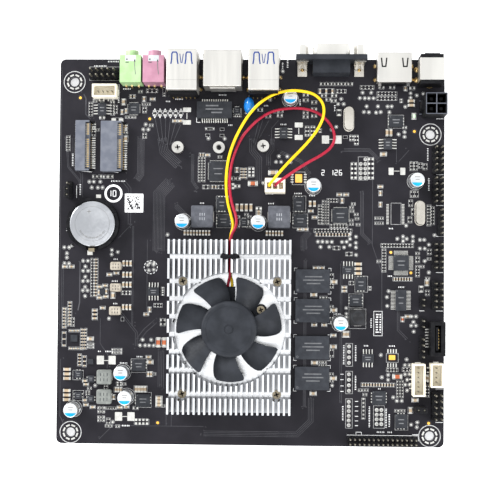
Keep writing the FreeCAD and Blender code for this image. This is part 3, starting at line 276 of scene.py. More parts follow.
@dataclass
class Solid:
    """Closed shapes gathered into one mesh piece, each with its own finish."""

    name: str
    points: list[Vector] = field(default_factory=list)
    faces: list[tuple[int, ...]] = field(default_factory=list)
    marks: list[int] = field(default_factory=list)
    finishes: list[Finish] = field(default_factory=list)
    stance: Matrix = field(default_factory=lambda: Matrix.Identity(4))

    def add(self, points: list[Vector], faces: list[tuple[int, ...]], finish: Finish) -> None:
        """Add a shape, moved by the present stance.

        Args:
            points: its corners, in millimetres.
            faces: its faces, as indexes into the corners.
            finish: what it is dressed in.
        """
        if finish not in self.finishes:
            self.finishes.append(finish)
        start = len(self.points)
        self.points += [self.stance @ Vector(point) for point in points]
        self.faces += [tuple(start + corner for corner in face) for face in faces]
        self.marks += [self.finishes.index(finish)] * len(faces)

    def stack(self, rings: list[list[Vector]], finish: Finish) -> None:
        """Skin a column of rings of equal count, and close both ends.

        Args:
            rings: the rings from the bottom up, each running anticlockwise seen from above.
            finish: what it is dressed in.
        """
        count = len(rings[0])
        faces: list[tuple[int, ...]] = [tuple(reversed(range(count)))]
        for level in range(len(rings) - 1):
            low, high = level * count, (level + 1) * count
            faces += [(low + at, low + (at + 1) % count, high + (at + 1) % count, high + at)
                      for at in range(count)]
        last = (len(rings) - 1) * count
        faces.append(tuple(range(last, last + count)))
        self.add([point for ring in rings for point in ring], faces, finish)

    def prism(self, outline: list[Point], low: float, high: float, finish: Finish, edge: float = 0.0) -> None:
        """A flat outline raised from low to high, with its top edge cut back if edge is given."""
        rings = [[Vector((x, y, low)) for x, y in outline]]
        if edge:
            rings.append([Vector((x, y, high - edge)) for x, y in outline])
            rings.append([Vector((x, y, high)) for x, y in inset(outline, edge)])
        else:
            rings.append([Vector((x, y, high)) for x, y in outline])
        self.stack(rings, finish)

    def block(self, x: float, y: float, low: float, wide: float, long: float, tall: float, finish: Finish,
              edge: float = 0.0, turn: float = 0.0, corner: float = 0.0) -> None:
        """A block centred on x and y that stands on low, turned in plan by degrees."""
        outline = rounded(wide, long, corner) if corner else oblong(wide, long)
        self.prism(moved(outline, x, y, turn), low, low + tall, finish, edge)

    def turned(self, x: float, y: float, profile: list[Point], finish: Finish, sides: int = 40) -> None:
        """A body turned about a vertical axis at x and y.

        Args:
            x: the axis.
            y: the axis.
            profile: radius and height pairs, from the bottom up.
            finish: what it is dressed in.
            sides: how many facets go round.
        """
        self.stack([[Vector((x + radius * math.cos(turn), y + radius * math.sin(turn), height))
                     for turn in (math.tau * step / sides for step in range(sides))]
                    for radius, height in profile], finish)

    def ring(self, x: float, y: float, low: float, inner: float, outer: float, tall: float, finish: Finish,
             sides: int = 36) -> None:
        """A flat washer with a real hole."""
        points, faces = [], []
        for step in range(sides):
            turn = math.tau * step / sides
            for radius, height in ((inner, low), (outer, low), (outer, low + tall), (inner, low + tall)):
                points.append(Vector((x + radius * math.cos(turn), y + radius * math.sin(turn), height)))
        for step in range(sides):
            here, there = step * 4, (step + 1) % sides * 4
            faces += [(here + at, there + at, there + (at + 1) % 4, here + (at + 1) % 4) for at in range(4)]
        self.add(points, [tuple(reversed(face)) for face in faces], finish)

    def line(self, route: list[Point], wide: float, low: float, tall: float, finish: Finish,
             closed: bool = False) -> None:
        """A flat line of one width along a route, with mitred corners."""
        left, right = beside(route, wide / 2, closed), beside(route, -wide / 2, closed)
        count = len(route)
        points = [Vector((x, y, z)) for x, y, z in
                  [(*place, height) for pair in zip(left,
                                                    right) for place in pair for height in (low, low + tall)]]
        faces = []
        for at in range(count if closed else count - 1):
            a, b = at * 4, (at + 1) % count * 4
            faces += [(a, b, b + 1, a + 1), (a + 2, a + 3, b + 3, b + 2), (a + 1, b + 1, b + 3, a + 3),
                      (a, a + 2, b + 2, b)]
        if not closed:
            end = (count - 1) * 4
            faces += [(0, 1, 3, 2), (end, end + 2, end + 3, end + 1)]
        self.add(points, faces, finish)

    def strap(self, path: list[Spot], across: Vector, wide: float, thick: float, finish: Finish) -> None:
        """A bent flat strip, such as a lead or a spring.

        Args:
            path: the middle of the strip.
            across: the direction of its width.
            wide: its width.
            thick: its thickness.
            finish: what it is dressed in.
        """
        across = across.normalized()
        path = [Vector(point) for point in path]
        rings = []
        for at, place in enumerate(path):
            along = (path[min(at + 1, len(path) - 1)] - path[max(at - 1, 0)]).normalized()
            lift = along.cross(across).normalized() * (thick / 2)
            side = across * (wide / 2)
            rings.append([place - side - lift, place + side - lift, place + side + lift, place - side + lift])
        self.stack(rings, finish)

    def make(self, body: str = "board", replaces: tuple[str, ...] = (),
             crease: float = 38.0) -> bpy.types.Object:
        """Turn what was gathered into a piece of the model.

        Args:
            body: the body it moves with.
            replaces: the nodes it stands for.
            crease: the angle in degrees above which an edge stays sharp.

        Returns:
            The new object.
        """
        mesh = bpy.data.meshes.new(self.name)
        mesh.from_pydata([point * MM for point in self.points], [], self.faces)
        for finish in self.finishes:
            mesh.materials.append(finish.material())
        mesh.polygons.foreach_set("material_index", self.marks)
        work = bmesh.new()
        work.from_mesh(mesh)
        bmesh.ops.recalc_face_normals(work, faces=work.faces)
        work.to_mesh(mesh)
        work.free()
        mesh.polygons.foreach_set("use_smooth", [True] * len(mesh.polygons))
        mesh.set_sharp_from_angle(angle=math.radians(crease))
        piece = bpy.data.objects.new(self.name, mesh)
        bpy.context.scene.collection.objects.link(piece)
        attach(piece, body)
        if replaces:
            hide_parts(*replaces)
        LOG.info("%s: %d faces on %s", self.name, len(self.faces), body)
        return piece


def oblong(wide: float, long: float) -> list[Point]:
    """The corners of a rectangle about the origin, anticlockwise."""
    return [(-wide / 2, -long / 2), (wide / 2, -long / 2), (wide / 2, long / 2), (-wide / 2, long / 2)]


def rounded(wide: float, long: float, corner: float, steps: int = 4) -> list[Point]:
    """A rectangle about the origin with round corners."""
    outline = []
    for quarter, (side, end) in enumerate(((1, -1), (1, 1), (-1, 1), (-1, -1))):
        for step in range(steps + 1):
            turn = math.radians(-90 + 90 * quarter + 90 * step / steps)
            outline.append((side * (wide / 2 - corner) + corner * math.cos(turn),
                            end * (long / 2 - corner) + corner * math.sin(turn)))
    return outline


def moved(outline: list[Point], x: float, y: float, turn: float = 0.0) -> list[Point]:
    """An outline turned by degrees and moved."""
    cos, sin = math.cos(math.radians(turn)), math.sin(math.radians(turn))
    return [(x + a * cos - b * sin, y + a * sin + b * cos) for a, b in outline]


def beside(route: list[Point], gap: float, closed: bool = False) -> list[Point]:
    """A route moved sideways by a gap, to its left where that is positive, with mitred corners."""
    result = []
    count = len(route)
    for at, (x, y) in enumerate(route):
        before = route[(at - 1) % count] if closed or at else None
        after = route[(at + 1) % count] if closed or at < count - 1 else None
        sides = []
        for start, end in ((before, (x, y)), ((x, y), after)):
            if start is not None and end is not None:
                span = math.dist(start, end)
                sides.append((-(end[1] - start[1]) / span, (end[0] - start[0]) / span))
        across = (sum(side[0] for side in sides), sum(side[1] for side in sides))
        size = math.hypot(*across) or 1.0
        lean = (across[0] / size, across[1] / size)
        reach = gap / max(0.35, lean[0] * sides[0][0] + lean[1] * sides[0][1])
        result.append((x + lean[0] * reach, y + lean[1] * reach))
    return result


def inset(outline: list[Point], edge: float) -> list[Point]:
    """A closed anticlockwise outline drawn in by an edge."""
    return beside(outline, edge, closed=True)


@dataclass(frozen=True)
class Place:
    """The box of one solid of a frame node, in millimetres."""

    low: Vector
    high: Vector

    @property
    def middle(self) -> Vector:
        """Its centre."""
        return (self.low + self.high) / 2

    @property
    def size(self) -> Vector:
        """Its width, length and height."""
        return self.high - self.low


def places(node: str) -> list[Place]:
    """The boxes of a frame node's separate solids, from left to right and front to back."""
    work = bmesh.new()
    work.from_mesh(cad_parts[node].data)
    bmesh.ops.remove_doubles(work, verts=work.verts, dist=1e-6)
    work.verts.ensure_lookup_table()
    seen: set[int] = set()
    found = []
    for start in work.verts:
        if start.index in seen:
            continue
        seen.add(start.index)
        waiting, island = [start], []
        while waiting:
            vertex = waiting.pop()
            island.append(vertex.co / MM)
            for edge in vertex.link_edges:
                other = edge.other_vert(vertex)
                if other.index not in seen:
                    seen.add(other.index)
                    waiting.append(other)
        found.append(Place(Vector(map(min, zip(*island))), Vector(map(max, zip(*island)))))
    work.free()
    return sorted(found, key=lambda place: (round(place.middle.x, 2), round(place.middle.y, 2)))


def dress(finish: Finish, *nodes: str, edge: float = 0.12, steps: int = 2) -> None:
    """Give frame nodes a finish, and soften their edges.

    Args:
        finish: what they are dressed in.
        nodes: the names of the nodes.
        edge: how far their edges are rounded, in millimetres.
        steps: how many facets each edge gets.
    """
    for name in nodes:
        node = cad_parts[name]
        node.data.materials.clear()
        node.data.materials.append(finish.material())
        if edge:
            weld = node.modifiers.new("joined_faces", "WELD")
            weld.merge_threshold = 1e-6
            soft = node.modifiers.new("soft_edges", "BEVEL")
            soft.width = edge * MM
            soft.segments = steps
            soft.limit_method = "ANGLE"
            soft.angle_limit = math.radians(45)
            soft.harden_normals = True
        LOG.info("%s: dressed in %s", name, finish.name)


# ---------------------------------------------------------------- the board

@dataclass
class Board:
    """The laminate with its copper, pads, ink and underside joints."""

    ring_radius: float = 4.7
    ring_wide: float = 0.16
    pad_count: int = 8

    def build(self) -> None:
        """Dress the board and lay its copper and ink."""
        dress(MASK, "pcb", edge=0.0)
        dress(SOLDER, "solder_joints", edge=0.0)
        self.copper()
        self.ink()
        self.fixings()
        self.underside()

    def copper(self) -> None:
        """Bundles of tracks that show faintly through the mask."""
        sheet = Solid("copper_tracks")
        for bundle in BUNDLES:
            for lane in range(bundle.lanes):
                gap = (lane - (bundle.lanes - 1) / 2) * bundle.gap
                sheet.line(beside(list(bundle.route), gap), bundle.wide, BOARD_TOP, 0.018, TRACE)
        sheet.make()
        vias = Solid("plated_vias")
        draw = random.Random(7)
        for bundle in BUNDLES:
            for x, y in (bundle.route[0], bundle.route[-1]):
                for _ in range(bundle.lanes):
                    vias.ring(x + draw.uniform(-1.4, 1.4), y + draw.uniform(-1.4, 1.4), BOARD_TOP, 0.12, 0.26,
                              0.02,
                              TRACE, 8)
        vias.make()

    def ink(self) -> None:
        """White outlines and ticks printed on the board."""
        ink = Solid("printed_outlines")
        for x, y, wide, long in INK_BOXES:
            ink.line(moved(oblong(wide, long), x, y), 0.13, BOARD_TOP, INK, FAINT_INK, closed=True)
        for start, end in INK_LINES:
            ink.line([start, end], 0.22, BOARD_TOP, INK, INKED)
        draw = random.Random(3)
        for x, y, count, upright in INK_TICKS:
            for tick in range(count):
                shift = (tick - (count - 1) / 2) * 0.72
                tall = draw.choice((0.5, 0.62, 0.62))
                place = (x, y + shift) if upright else (x + shift, y)
                size = (tall, 0.3) if upright else (0.3, tall)
                ink.block(*place, BOARD_TOP, *size, INK, INKED)
        for number in range(6):
            x = -42.8 + number * 2.32
            ink.line([(x - 1.0, 61), (x, 63), (x + 1.0, 61), (x, 59)], 0.2, BOARD_TOP, INK, INKED,
                     closed=True)
        for (_, size, upright), rows in PARTS.items():
            for x, y, *repeat in rows:
                count, across, along = (repeat + [0.0, 0.0])[:3] if repeat else (1, 0.0, 0.0)
                long, wide = (size.wide, size.long) if upright else (size.long, size.wide)
                reach_x, reach_y = (count - 1) * across, (count - 1) * along
                outline = moved(oblong(long + abs(reach_x) + 0.85, wide + abs(reach_y) + 0.7),
                                x + reach_x / 2,
                                y + reach_y / 2)
                ink.line(outline, 0.11, BOARD_TOP, INK, FAINT_INK, closed=True)
        ink.line(moved(oblong(3.6, 10.6), 56.2, -31.2), 0.3, BOARD_TOP, INK, INKED, closed=True)
        for row in range(8):
            ink.block(55.6 + draw.uniform(0, 0.3), -35.0 + row * 1.1, BOARD_TOP, draw.uniform(0.8, 1.4), 0.5,
                      INK, INKED)
            ink.block(57.2, -35.0 + row * 1.1, BOARD_TOP, 0.6, draw.uniform(0.4, 0.7), INK, INKED)
        for dash in range(12):
            turn = math.tau * dash / 12
            ink.block(-43.9 + 2.9 * math.cos(turn), -7.2 + 2.9 * math.sin(turn), BOARD_TOP, 0.9, 0.22, INK,
                      INKED,
                      turn=math.degrees(turn) + 90)
        for x, y in DOTS:
            ink.ring(x, y, BOARD_TOP, 0.76, 0.86, INK, FAINT_INK, 14)
        for start, text, tall in (((-63.15, 25.3), "10", 2.5), ((31.2, 35.0), "2 126", 2.2)):
            self.digits(ink, text, *start, tall)
        ink.ring(-60.8, 25.3, BOARD_TOP, 3.05, 4.0, INK, INKED)
        ink.make()
        label = Solid("paper_label")
        label.block(-51.6, 21.1, BOARD_TOP, 8.2, 8.3, 0.06, INKED, corner=0.3)
        for row in range(13):
            for column in range(13):
                if draw.random() < 0.5:
                    label.block(-51.8 + (column - 6) * 0.46, 21.2 + (row - 6) * 0.46, BOARD_TOP + 0.06, 0.46,
                                0.46,
                                0.01, RESISTOR)
        label.make()

    @staticmethod
    def digits(ink: Solid, text: str, x: float, y: float, tall: float) -> None:
        """Plain digits drawn with straight strokes.

        Args:
            ink: the piece they are gathered into.
            text: the digits, with a blank for a gap.
            x: the left end.
            y: the middle height.
            tall: their height.
        """
        half, wide = tall / 2, tall * 0.5
        corners = {"a": ((0, half), (wide, half)), "b": ((wide, half), (wide, 0)),
                   "c": ((wide, 0), (wide, -half)),
                   "d": ((0, -half), (wide, -half)), "e": ((0, 0), (0, -half)), "f": ((0, half), (0, 0)),
                   "g": ((0, 0), (wide, 0))}
        strokes = {"0": "abcdef", "1": "bc", "2": "abged", "6": "acdefg"}
        for number, digit in enumerate(text):
            for stroke in strokes.get(digit, ""):
                (x0, y0), (x1, y1) = corners[stroke]
                ink.line([(x + number * wide * 1.75 + x0, y + y0), (x + number * wide * 1.75 + x1, y + y1)],
                         tall * 0.12, BOARD_TOP, INK, INKED)

    def fixings(self) -> None:
        """Rings and pads round the mounting holes, the gold targets and the heatsink's holes."""
        metal = Solid("fixing_pads")
        for x, y in FIXINGS:
            metal.ring(x, y, BOARD_TOP, self.ring_radius - self.ring_wide, self.ring_radius + self.ring_wide,
                       INK,
                       FAINT_INK, 48)
            metal.ring(x, y, BOARD_TOP, 1.99, 2.25, 0.03, TRACE, 32)
            for number in range(self.pad_count):
                turn = math.tau * (number + 0.5) / self.pad_count
                metal.block(x + 3.05 * math.cos(turn), y + 3.05 * math.sin(turn), BOARD_TOP, 1.75, 0.72,
                            0.035,
                            TINNED, turn=math.degrees(turn) + 90)
        for x, y in TARGETS:
            metal.turned(x, y, [(0.62, BOARD_TOP), (0.62, BOARD_TOP + 0.04)], TARGET_GOLD, 16)
            metal.ring(x, y, BOARD_TOP, 1.0, 1.12, 0.012, TRACE, 20)
        for x, y, wide, long in BARE_PADS:
            metal.block(x, y, BOARD_TOP, wide, long, 0.06, TINNED, 0.04, corner=0.2)
        for x, y, columns, rows, step in EMPTY_HOLES:
            for place in grid(x, y, columns, rows, step):
                metal.ring(*place, BOARD_TOP, 0.5, 0.8, 0.04, TINNED, 18)
                metal.ring(*place, -0.04, 0.5, 0.8, 0.04, TINNED, 18)
        for x, y, wide, long in ((35.5, 49.7, 2.4, 0.3), (64.2, 35.8, 2.4, 0.3), (-63.2, -48.5, 2.4, 0.3),
                                 (-54.7, -73.0, 2.4, 0.3), (21.0, 53.3, 0.3, 2.6), (-28.5, 59.8, 0.3, 2.6)):
            metal.block(x, y, BOARD_TOP, wide, long, 0.05, TINNED)
        metal.block(21.1, 32.4, BOARD_TOP, 3.0, 3.7, 0.07, TARGET_GOLD, corner=0.2)
        metal.block(62.4, -46.0, BOARD_TOP, 2.8, 2.1, 0.07, TARGET_GOLD, corner=0.2)
        for number in range(4):
            for side in (-1, 1):
                metal.block(21.1 + side * 2.9, 32.4 + (number - 1.5) * 1.1, BOARD_TOP, 1.2, 0.5, 0.05, TINNED)
                metal.block(62.4 + (number - 1.5) * 1.2, -46.3 + side * 3.1, BOARD_TOP, 0.5, 1.7, 0.05,
                            TINNED)
        metal.make()

    def underside(self) -> None:
        """Small joints, parts and vias on the side that faces the case."""
        under = Solid("underside_parts")
        draw = random.Random(11)
        for place in places("header_pins"):
            under.turned(place.middle.x, place.middle.y, [(0.42, -0.75), (0.9, -0.02)], SOLDER, 10)
        for row in range(7):
            for column in range(8):
                x, y = -24.5 + column * 4.6 + draw.uniform(-0.6,
                                                           0.6), -47.0 + row * 4.4 + draw.uniform(-0.6, 0.6)
                chip(under, x, y, SMALL, -1, draw.random() < 0.5, CERAMIC)
        for row in range(9):
            for column in range(3):
                chip(under, -50 + column * 5.5, -20 + row * 4.3 + draw.uniform(-1, 1), TINY, -1,
                     column % 2 == 0,
                     RESISTOR)
        for column in range(14):
            chip(under, 30 + column * 2.6, 24 + draw.uniform(-4, 4), TINY, -1, column % 2 == 0, RESISTOR)
        for x, y in ((-46, 32), (18, -62), (60, 6), (-62, -40)):
            under.prism(moved(oblong(5.0, 4.0), x, y), -1.0, -0.02, EPOXY)
            for side in (-1, 1):
                for pin in range(4):
                    under.block(x + (pin - 1.5) * 1.27, y + side * 2.5, -0.35, 0.42, 1.1, 0.33, TINNED)
        for bundle in BUNDLES:
            for lane in range(bundle.lanes):
                gap = (lane - (bundle.lanes - 1) / 2) * bundle.gap * 1.3
                mirrored = [(-x * 0.86 - 6, y * 0.9) for x, y in bundle.route]
                under.line(beside(mirrored, gap), bundle.wide, -0.018, 0.018, TRACE)
        under.make()


def grid(x: float, y: float, columns: int, rows: int, step: float) -> list[Point]:
    """The places of a rectangular grid about a centre."""
    return [(x + (column - (columns - 1) / 2) * step, y + (row - (rows - 1) / 2) * step)
            for column in range(columns) for row in range(rows)]


@dataclass(frozen=True)
class ChipSize:
    """A small two-ended part's length, width and height."""

    long: float
    wide: float
    tall: float


TINY = ChipSize(1.0, 0.5, 0.38)
SMALL = ChipSize(1.6, 0.8, 0.6)
MEDIUM = ChipSize(2.1, 1.25, 0.8)
LARGE = ChipSize(3.2, 1.6, 1.0)


def chip(work: Solid, x: float, y: float, size: ChipSize, side: int, upright: bool,
         body: Finish | None) -> None:
    """A small part with two tinned ends on its pads, or the bare pads if it has no body.

    Args:
        work: the piece it is gathered into.
        x: its centre.
        y: its centre.
        size: its size.
        side: 1 for the top of the board, -1 for the underside.
        upright: whether it runs along Y.
        body: the finish of its middle, or None.
    """
    turn = 90.0 if upright else 0.0
    foot = BOARD_TOP if side > 0 else -size.tall
    for end in (-1, 1):
        reach = end * (size.long / 2 - size.long * 0.11)
        pad_reach = end * (size.long / 2 + 0.02)
        place = (x, y + reach) if upright else (x + reach, y)
        pad_place = (x, y + pad_reach) if upright else (x + pad_reach, y)
        pad_foot = BOARD_TOP if side > 0 else -0.05
        pad_long = size.long * (0.36 if body else 0.62)
        work.block(*pad_place, pad_foot, pad_long, size.wide * 1.12, 0.05, TINNED, turn=turn)
        if body:
            work.block(*place, foot, size.long * 0.22, size.wide, size.tall, TINNED, size.tall * 0.12, turn)
    if body:
        work.block(x, y, foot + size.tall * 0.04, size.long * 0.62, size.wide * 0.96, size.tall * 0.92, body,
                   0.0,
                   turn)


# ---------------------------------------------------------------- cooler and fan

@dataclass
class Cooler:
    """The processor under its finned heatsink, and the four screws."""

    well_radius: float = 24.1
    rows: tuple[float, ...] = (-2.55, -13.2, -20.8, -28.5, -36.3, -43.7, -51.8, -62.2)

    def build(self) -> None:
        """Dress the stack, its bright machined floors, and black crosses on the screw heads as painted shade in
        their recesses.
        """
        dress(EPOXY, "processor")
        dress(PAD_GREY, "thermal_pad", edge=0.0)
        dress(FIN_METAL, "heatsink", edge=0.09, steps=1)
        dress(SCREW_METAL, "heatsink_screws", edge=0.18)
        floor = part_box("fan_stator")[0].z / MM
        middle = places("fan_shaft")[0].middle
        well = Solid("fan_well")
        well.ring(middle.x, middle.y, floor, 12.5, self.well_radius, 0.03, WELL_METAL, 96)
        block = places("heatsink")[0]
        for row in self.rows:
            reach = self.well_radius ** 2 - (row - middle.y) ** 2
            inner = math.sqrt(reach) + 0.2 if reach > 0 else 0.0
            for side in (-1, 1):
                start, end = middle.x + side * inner, middle.x + side * (block.size.x / 2 - 0.1)
                well.block((start + end) / 2, row, floor, abs(end - start), 1.94, 0.03, WELL_METAL)
        well.make()
        marks = Solid("painted_screw_recess_shade")
        # painted shade: two crossed black strips on each tall screw head stand for its shadowed cross recess
        for screw in places("heatsink_screws") + places("fan_screws"):
            if screw.high.z > BOARD_TOP + 2:
                for turn in (20, 110):
                    marks.block(screw.middle.x, screw.middle.y, screw.high.z - 0.01, screw.size.x * 0.62, 0.5,
                                0.04,
                                BLACK, turn=turn)
        marks.make()


@dataclass
class Fan:
    """The fan set into the heatsink: a fixed hub base and the rotor that turns on its shaft."""

    blade_count: int = 7
    first_blade: float = 6.0
    root: tuple[float, float] = (-20.0, 20.0)
    tip: tuple[float, float] = (-9.0, 26.0)
    blade_reach: float = 22.6
    hub_radius: float = 12.0
    thick: float = 0.95
    steps: int = 12

    def build(self) -> None:
        """Dress the fixed parts and make the rotor."""
        dress(FAN_BLACK, "fan_stator", edge=0.25)
        dress(SCREW_METAL, "fan_screws")
        dress(COPPER, "fan_coils", edge=0.3)
        dress(BRONZE, "fan_bearing")
        dress(SILVER, "fan_shaft")
        dress(MAGNET, "rotor_magnet")
        self.rotor()

    def rotor(self) -> None:
        """The hub cap and its seven curved blades."""
        low, high = (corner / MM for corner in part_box("fan_rotor"))
        hub = places("fan_shaft")[0].middle
        wheel = Solid("fan_rotor_moulding")
        wall, roof, round_off = 0.95, 1.2, 1.1
        profile = [(self.hub_radius - wall, low.z), (self.hub_radius, low.z),
                   (self.hub_radius, high.z - round_off)]
        for step in range(1, 7):
            turn = math.radians(90 * step / 6)
            profile.append((self.hub_radius - round_off + round_off * math.cos(turn),
                            high.z - round_off + round_off * math.sin(turn)))
        profile += [(9.9, high.z), (9.85, high.z - 0.1), (2.1, high.z - 0.1), (2.05, high.z - 0.3),
                    (1.5, high.z - 0.3), (1.45, high.z - 0.15), (0.05, high.z - 0.15), (0.05, high.z - roof),
                    (self.hub_radius - wall, high.z - roof)]
        self.closed_turn(wheel, hub.x, hub.y, profile)
        foot = low.z + 4.05
        for number in range(self.blade_count):
            self.blade(wheel, hub.x, hub.y, foot, self.first_blade + 360 * number / self.blade_count)
        wheel.make("rotor", ("fan_rotor",), crease=30.0)

    @staticmethod
    def closed_turn(wheel: Solid, x: float, y: float, profile: list[Point], sides: int = 72) -> None:
        """Turn a closed profile about a vertical axis.

        Args:
            wheel: the piece it is gathered into.
            x: the axis.
            y: the axis.
            profile: radius and height pairs round the closed outline.
            sides: how many facets go round.
        """
        count = len(profile)
        points = [Vector((x + radius * math.cos(math.tau * step / sides),
                          y + radius * math.sin(math.tau * step / sides),
                          height)) for step in range(sides) for radius, height in profile]
        faces = [(step * count + at, (step + 1) % sides * count + at,
                  (step + 1) % sides * count + (at + 1) % count,
                  step * count + (at + 1) % count) for step in range(sides) for at in range(count)]
        wheel.add(points, faces, FAN_BLACK)

    def blade(self, wheel: Solid, x: float, y: float, middle: float, bearing: float) -> None:
        """One blade: swept in plan, and tilted across its width.

        Args:
            wheel: the piece it is gathered into.
            x: the fan's axis.
            y: the fan's axis.
            middle: the height of the blade's middle.
            bearing: the direction of its root in degrees.
        """
        points = []
        side = self.steps + 1
        for skin in (1, -1):
            for out in range(side):
                share = out / self.steps
                radius = self.hub_radius - 0.4 + share * (self.blade_reach - self.hub_radius + 0.4)
                sweep = share ** 1.6
                first = self.root[0] + (self.tip[0] - self.root[0]) * sweep
                last = self.root[1] + (self.tip[1] - self.root[1]) * sweep
                for over in range(side):
                    along = over / self.steps
                    if share > 0.85:
                        pinch = ((share - 0.85) / 0.15) ** 2 * 0.07
                        along = pinch + along * (1 - 2 * pinch)
                    plan = first + (last - first) * along
                    turn = math.radians(bearing + plan)
                    lift = math.tanh(radius * math.radians(plan - 3 * share) * 0.17) * 2.75
                    lift += 0.35 * math.sin(math.pi * along)
                    taper = self.thick / 2 * (0.35 + 0.65 * math.sin(math.pi * min(max(along, 0.04), 0.96)))
                    points.append(Vector((x + radius * math.cos(turn), y + radius * math.sin(turn),
                                          middle + lift + skin * taper)))
        faces = []
        back = side * side
        for out in range(self.steps):
            for over in range(self.steps):
                a, b = out * side + over, (out + 1) * side + over
                faces += [(a, b, b + 1, a + 1), (back + a, back + a + 1, back + b + 1, back + b)]
        for at in range(self.steps):
            left, right = at * side, at * side + self.steps
            faces += [(left, back + left, back + left + side, left + side),
                      (right, right + side, back + right + side, back + right),
                      (at, at + 1, back + at + 1, back + at),
                      (self.steps * side + at, back + self.steps * side + at,
                       back + self.steps * side + at + 1,
                       self.steps * side + at + 1)]
        wheel.add(points, faces, FAN_BLACK)


# The wires' routes, in millimetres, from the fan's lug to its plug.
YELLOW_ROUTE = [(-7.60, -15.5, 7.95), (-7.60, -13.2, 7.95), (-8.47, -10.9, 7.80), (-8.53, -6.4, 7.75),
                (-8.47, 0.2, 7.80), (-8.52, 6.8, 8.00), (-7.10, 11.0, 7.40), (-8.40, 15.6, 6.30),
                (-9.90, 20.8, 5.20), (-10.8, 27.4, 4.70), (-10.7, 34.4, 4.60), (-9.80, 41.0, 4.80),
                (-7.80, 47.2, 5.60), (-4.90, 53.2, 7.20), (-0.90, 59.4, 9.40), (3.70, 64.2, 11.2),
                (9.60, 67.8, 12.6), (16.0, 69.4, 12.9), (22.2, 69.4, 11.8), (27.8, 68.4, 9.60),
                (31.6, 64.8, 7.80), (32.0, 59.6, 7.20), (29.9, 54.4, 7.40), (26.7, 49.6, 8.40),
                (22.7, 44.9, 10.2), (18.5, 40.4, 12.5), (14.7, 36.1, 15.0), (11.9, 32.6, 16.9),
                (9.90, 30.1, 17.3), (8.70, 28.7, 15.9), (8.28, 28.2, 13.6), (8.26, 28.2, 10.4)]
RED_ROUTE = [(-9.40, -15.5, 8.00), (-9.40, -13.7, 8.00), (-8.53, -11.4, 9.20), (-8.47, -7.4, 9.25),
             (-8.54, -0.6, 9.22), (-8.47, 6.4, 9.35), (-5.90, 10.6, 9.00), (-6.00, 15.0, 7.60),
             (-7.90, 20.0, 6.00), (-9.10, 25.6, 5.00), (-9.30, 31.8, 4.50), (-8.60, 38.2, 4.40),
             (-6.80, 44.2, 4.40), (-4.20, 50.0, 4.50), (-0.20, 54.8, 4.60), (4.40, 59.0, 4.80),
             (9.80, 61.8, 5.10), (15.8, 62.8, 5.20), (21.6, 63.0, 4.90), (27.4, 62.0, 4.40),
             (32.0, 59.2, 4.20), (35.4, 55.2, 4.30), (37.0, 50.2, 4.80), (35.4, 45.6, 6.20),
             (30.8, 41.8, 8.80), (25.6, 38.8, 11.6), (20.4, 35.3, 14.4), (16.0, 32.0, 16.6),
             (13.0, 29.8, 17.3), (11.3, 28.6, 15.9), (10.82, 28.2, 13.6), (10.8, 28.2, 10.4)]


@dataclass
class Wires:
    """The fan's two limp wires, their clip, and the plug in its header."""

    radius: float = 0.62

    def build(self) -> None:
        """Lay both wires and dress what holds them."""
        self.wire("yellow_fan_wire", YELLOW_ROUTE, 0.1681, YELLOW_JACKET, "fan_wire_yellow")
        self.wire("red_fan_wire", RED_ROUTE, 0.1624, RED_JACKET, "fan_wire_red")
        dress(BLACK, "cable_tie", edge=0.3)
        tie = places("cable_tie")[0]
        knot = Solid("tie_knot")
        rest = max(tie.high.z - 0.9, places("heatsink")[0].high.z + 0.02)
        for shift, wide, long, turn in ((-2.1, 3.0, 2.3, -14), (0.0, 2.0, 1.4, 0), (2.1, 2.9, 2.2, 12)):
            knot.block(tie.middle.x + shift, tie.middle.y, rest, wide, long, 0.76, BLACK, 0.35, turn, 0.6)
        knot.make()
        dress(IVORY, "fan_plug", edge=0.2)
        dress(IVORY, "fan_header", edge=0.15)
        plug = places("fan_plug")[0]
        crimps = Solid("plug_crimps")
        for number in (-1, 0, 1):
            x = plug.middle.x + number * 2.54
            floor = plug.high.z - 2.4
            crimps.block(x, plug.middle.y + 0.95, floor, 1.3, 0.25, 1.5, GILT)
            for side in (-1, 1):
                crimps.block(x + side * 0.72, plug.middle.y + 0.6, floor, 0.2, 0.7, 1.2, GILT)
            crimps.block(x, plug.middle.y - 1.1, floor, 1.4, 0.25, 0.9, BRONZE)
        crimps.make()

    def wire(self, name: str, route: list[tuple[float, float, float]], length: float, finish: Finish,
             node: str) -> None:
        """One wire, as a smooth curve through its route.

        Args:
            name: the piece's name.
            route: its points in millimetres.
            length: its real length in metres.
            finish: its insulation.
            node: the node it stands for.
        """
        curve = bpy.data.curves.new(name, "CURVE")
        curve.dimensions = "3D"
        curve.bevel_depth = self.radius * MM
        curve.bevel_resolution = 5
        curve.use_fill_caps = True
        curve.resolution_u = 10
        spline = curve.splines.new("NURBS")
        spline.points.add(len(route) - 1)
        for point, place in zip(spline.points, route):
            point.co = (*(Vector(place) * MM), 1.0)
        spline.order_u = 3
        spline.use_endpoint_u = True
        curve.materials.append(finish.material())
        piece = bpy.data.objects.new(name, curve)
        bpy.context.scene.collection.objects.link(piece)
        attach(piece, "board")
        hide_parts(node)
        LOG.info("%s: %.1f mm long", name, length / MM)


# ---------------------------------------------------------------- rear ports

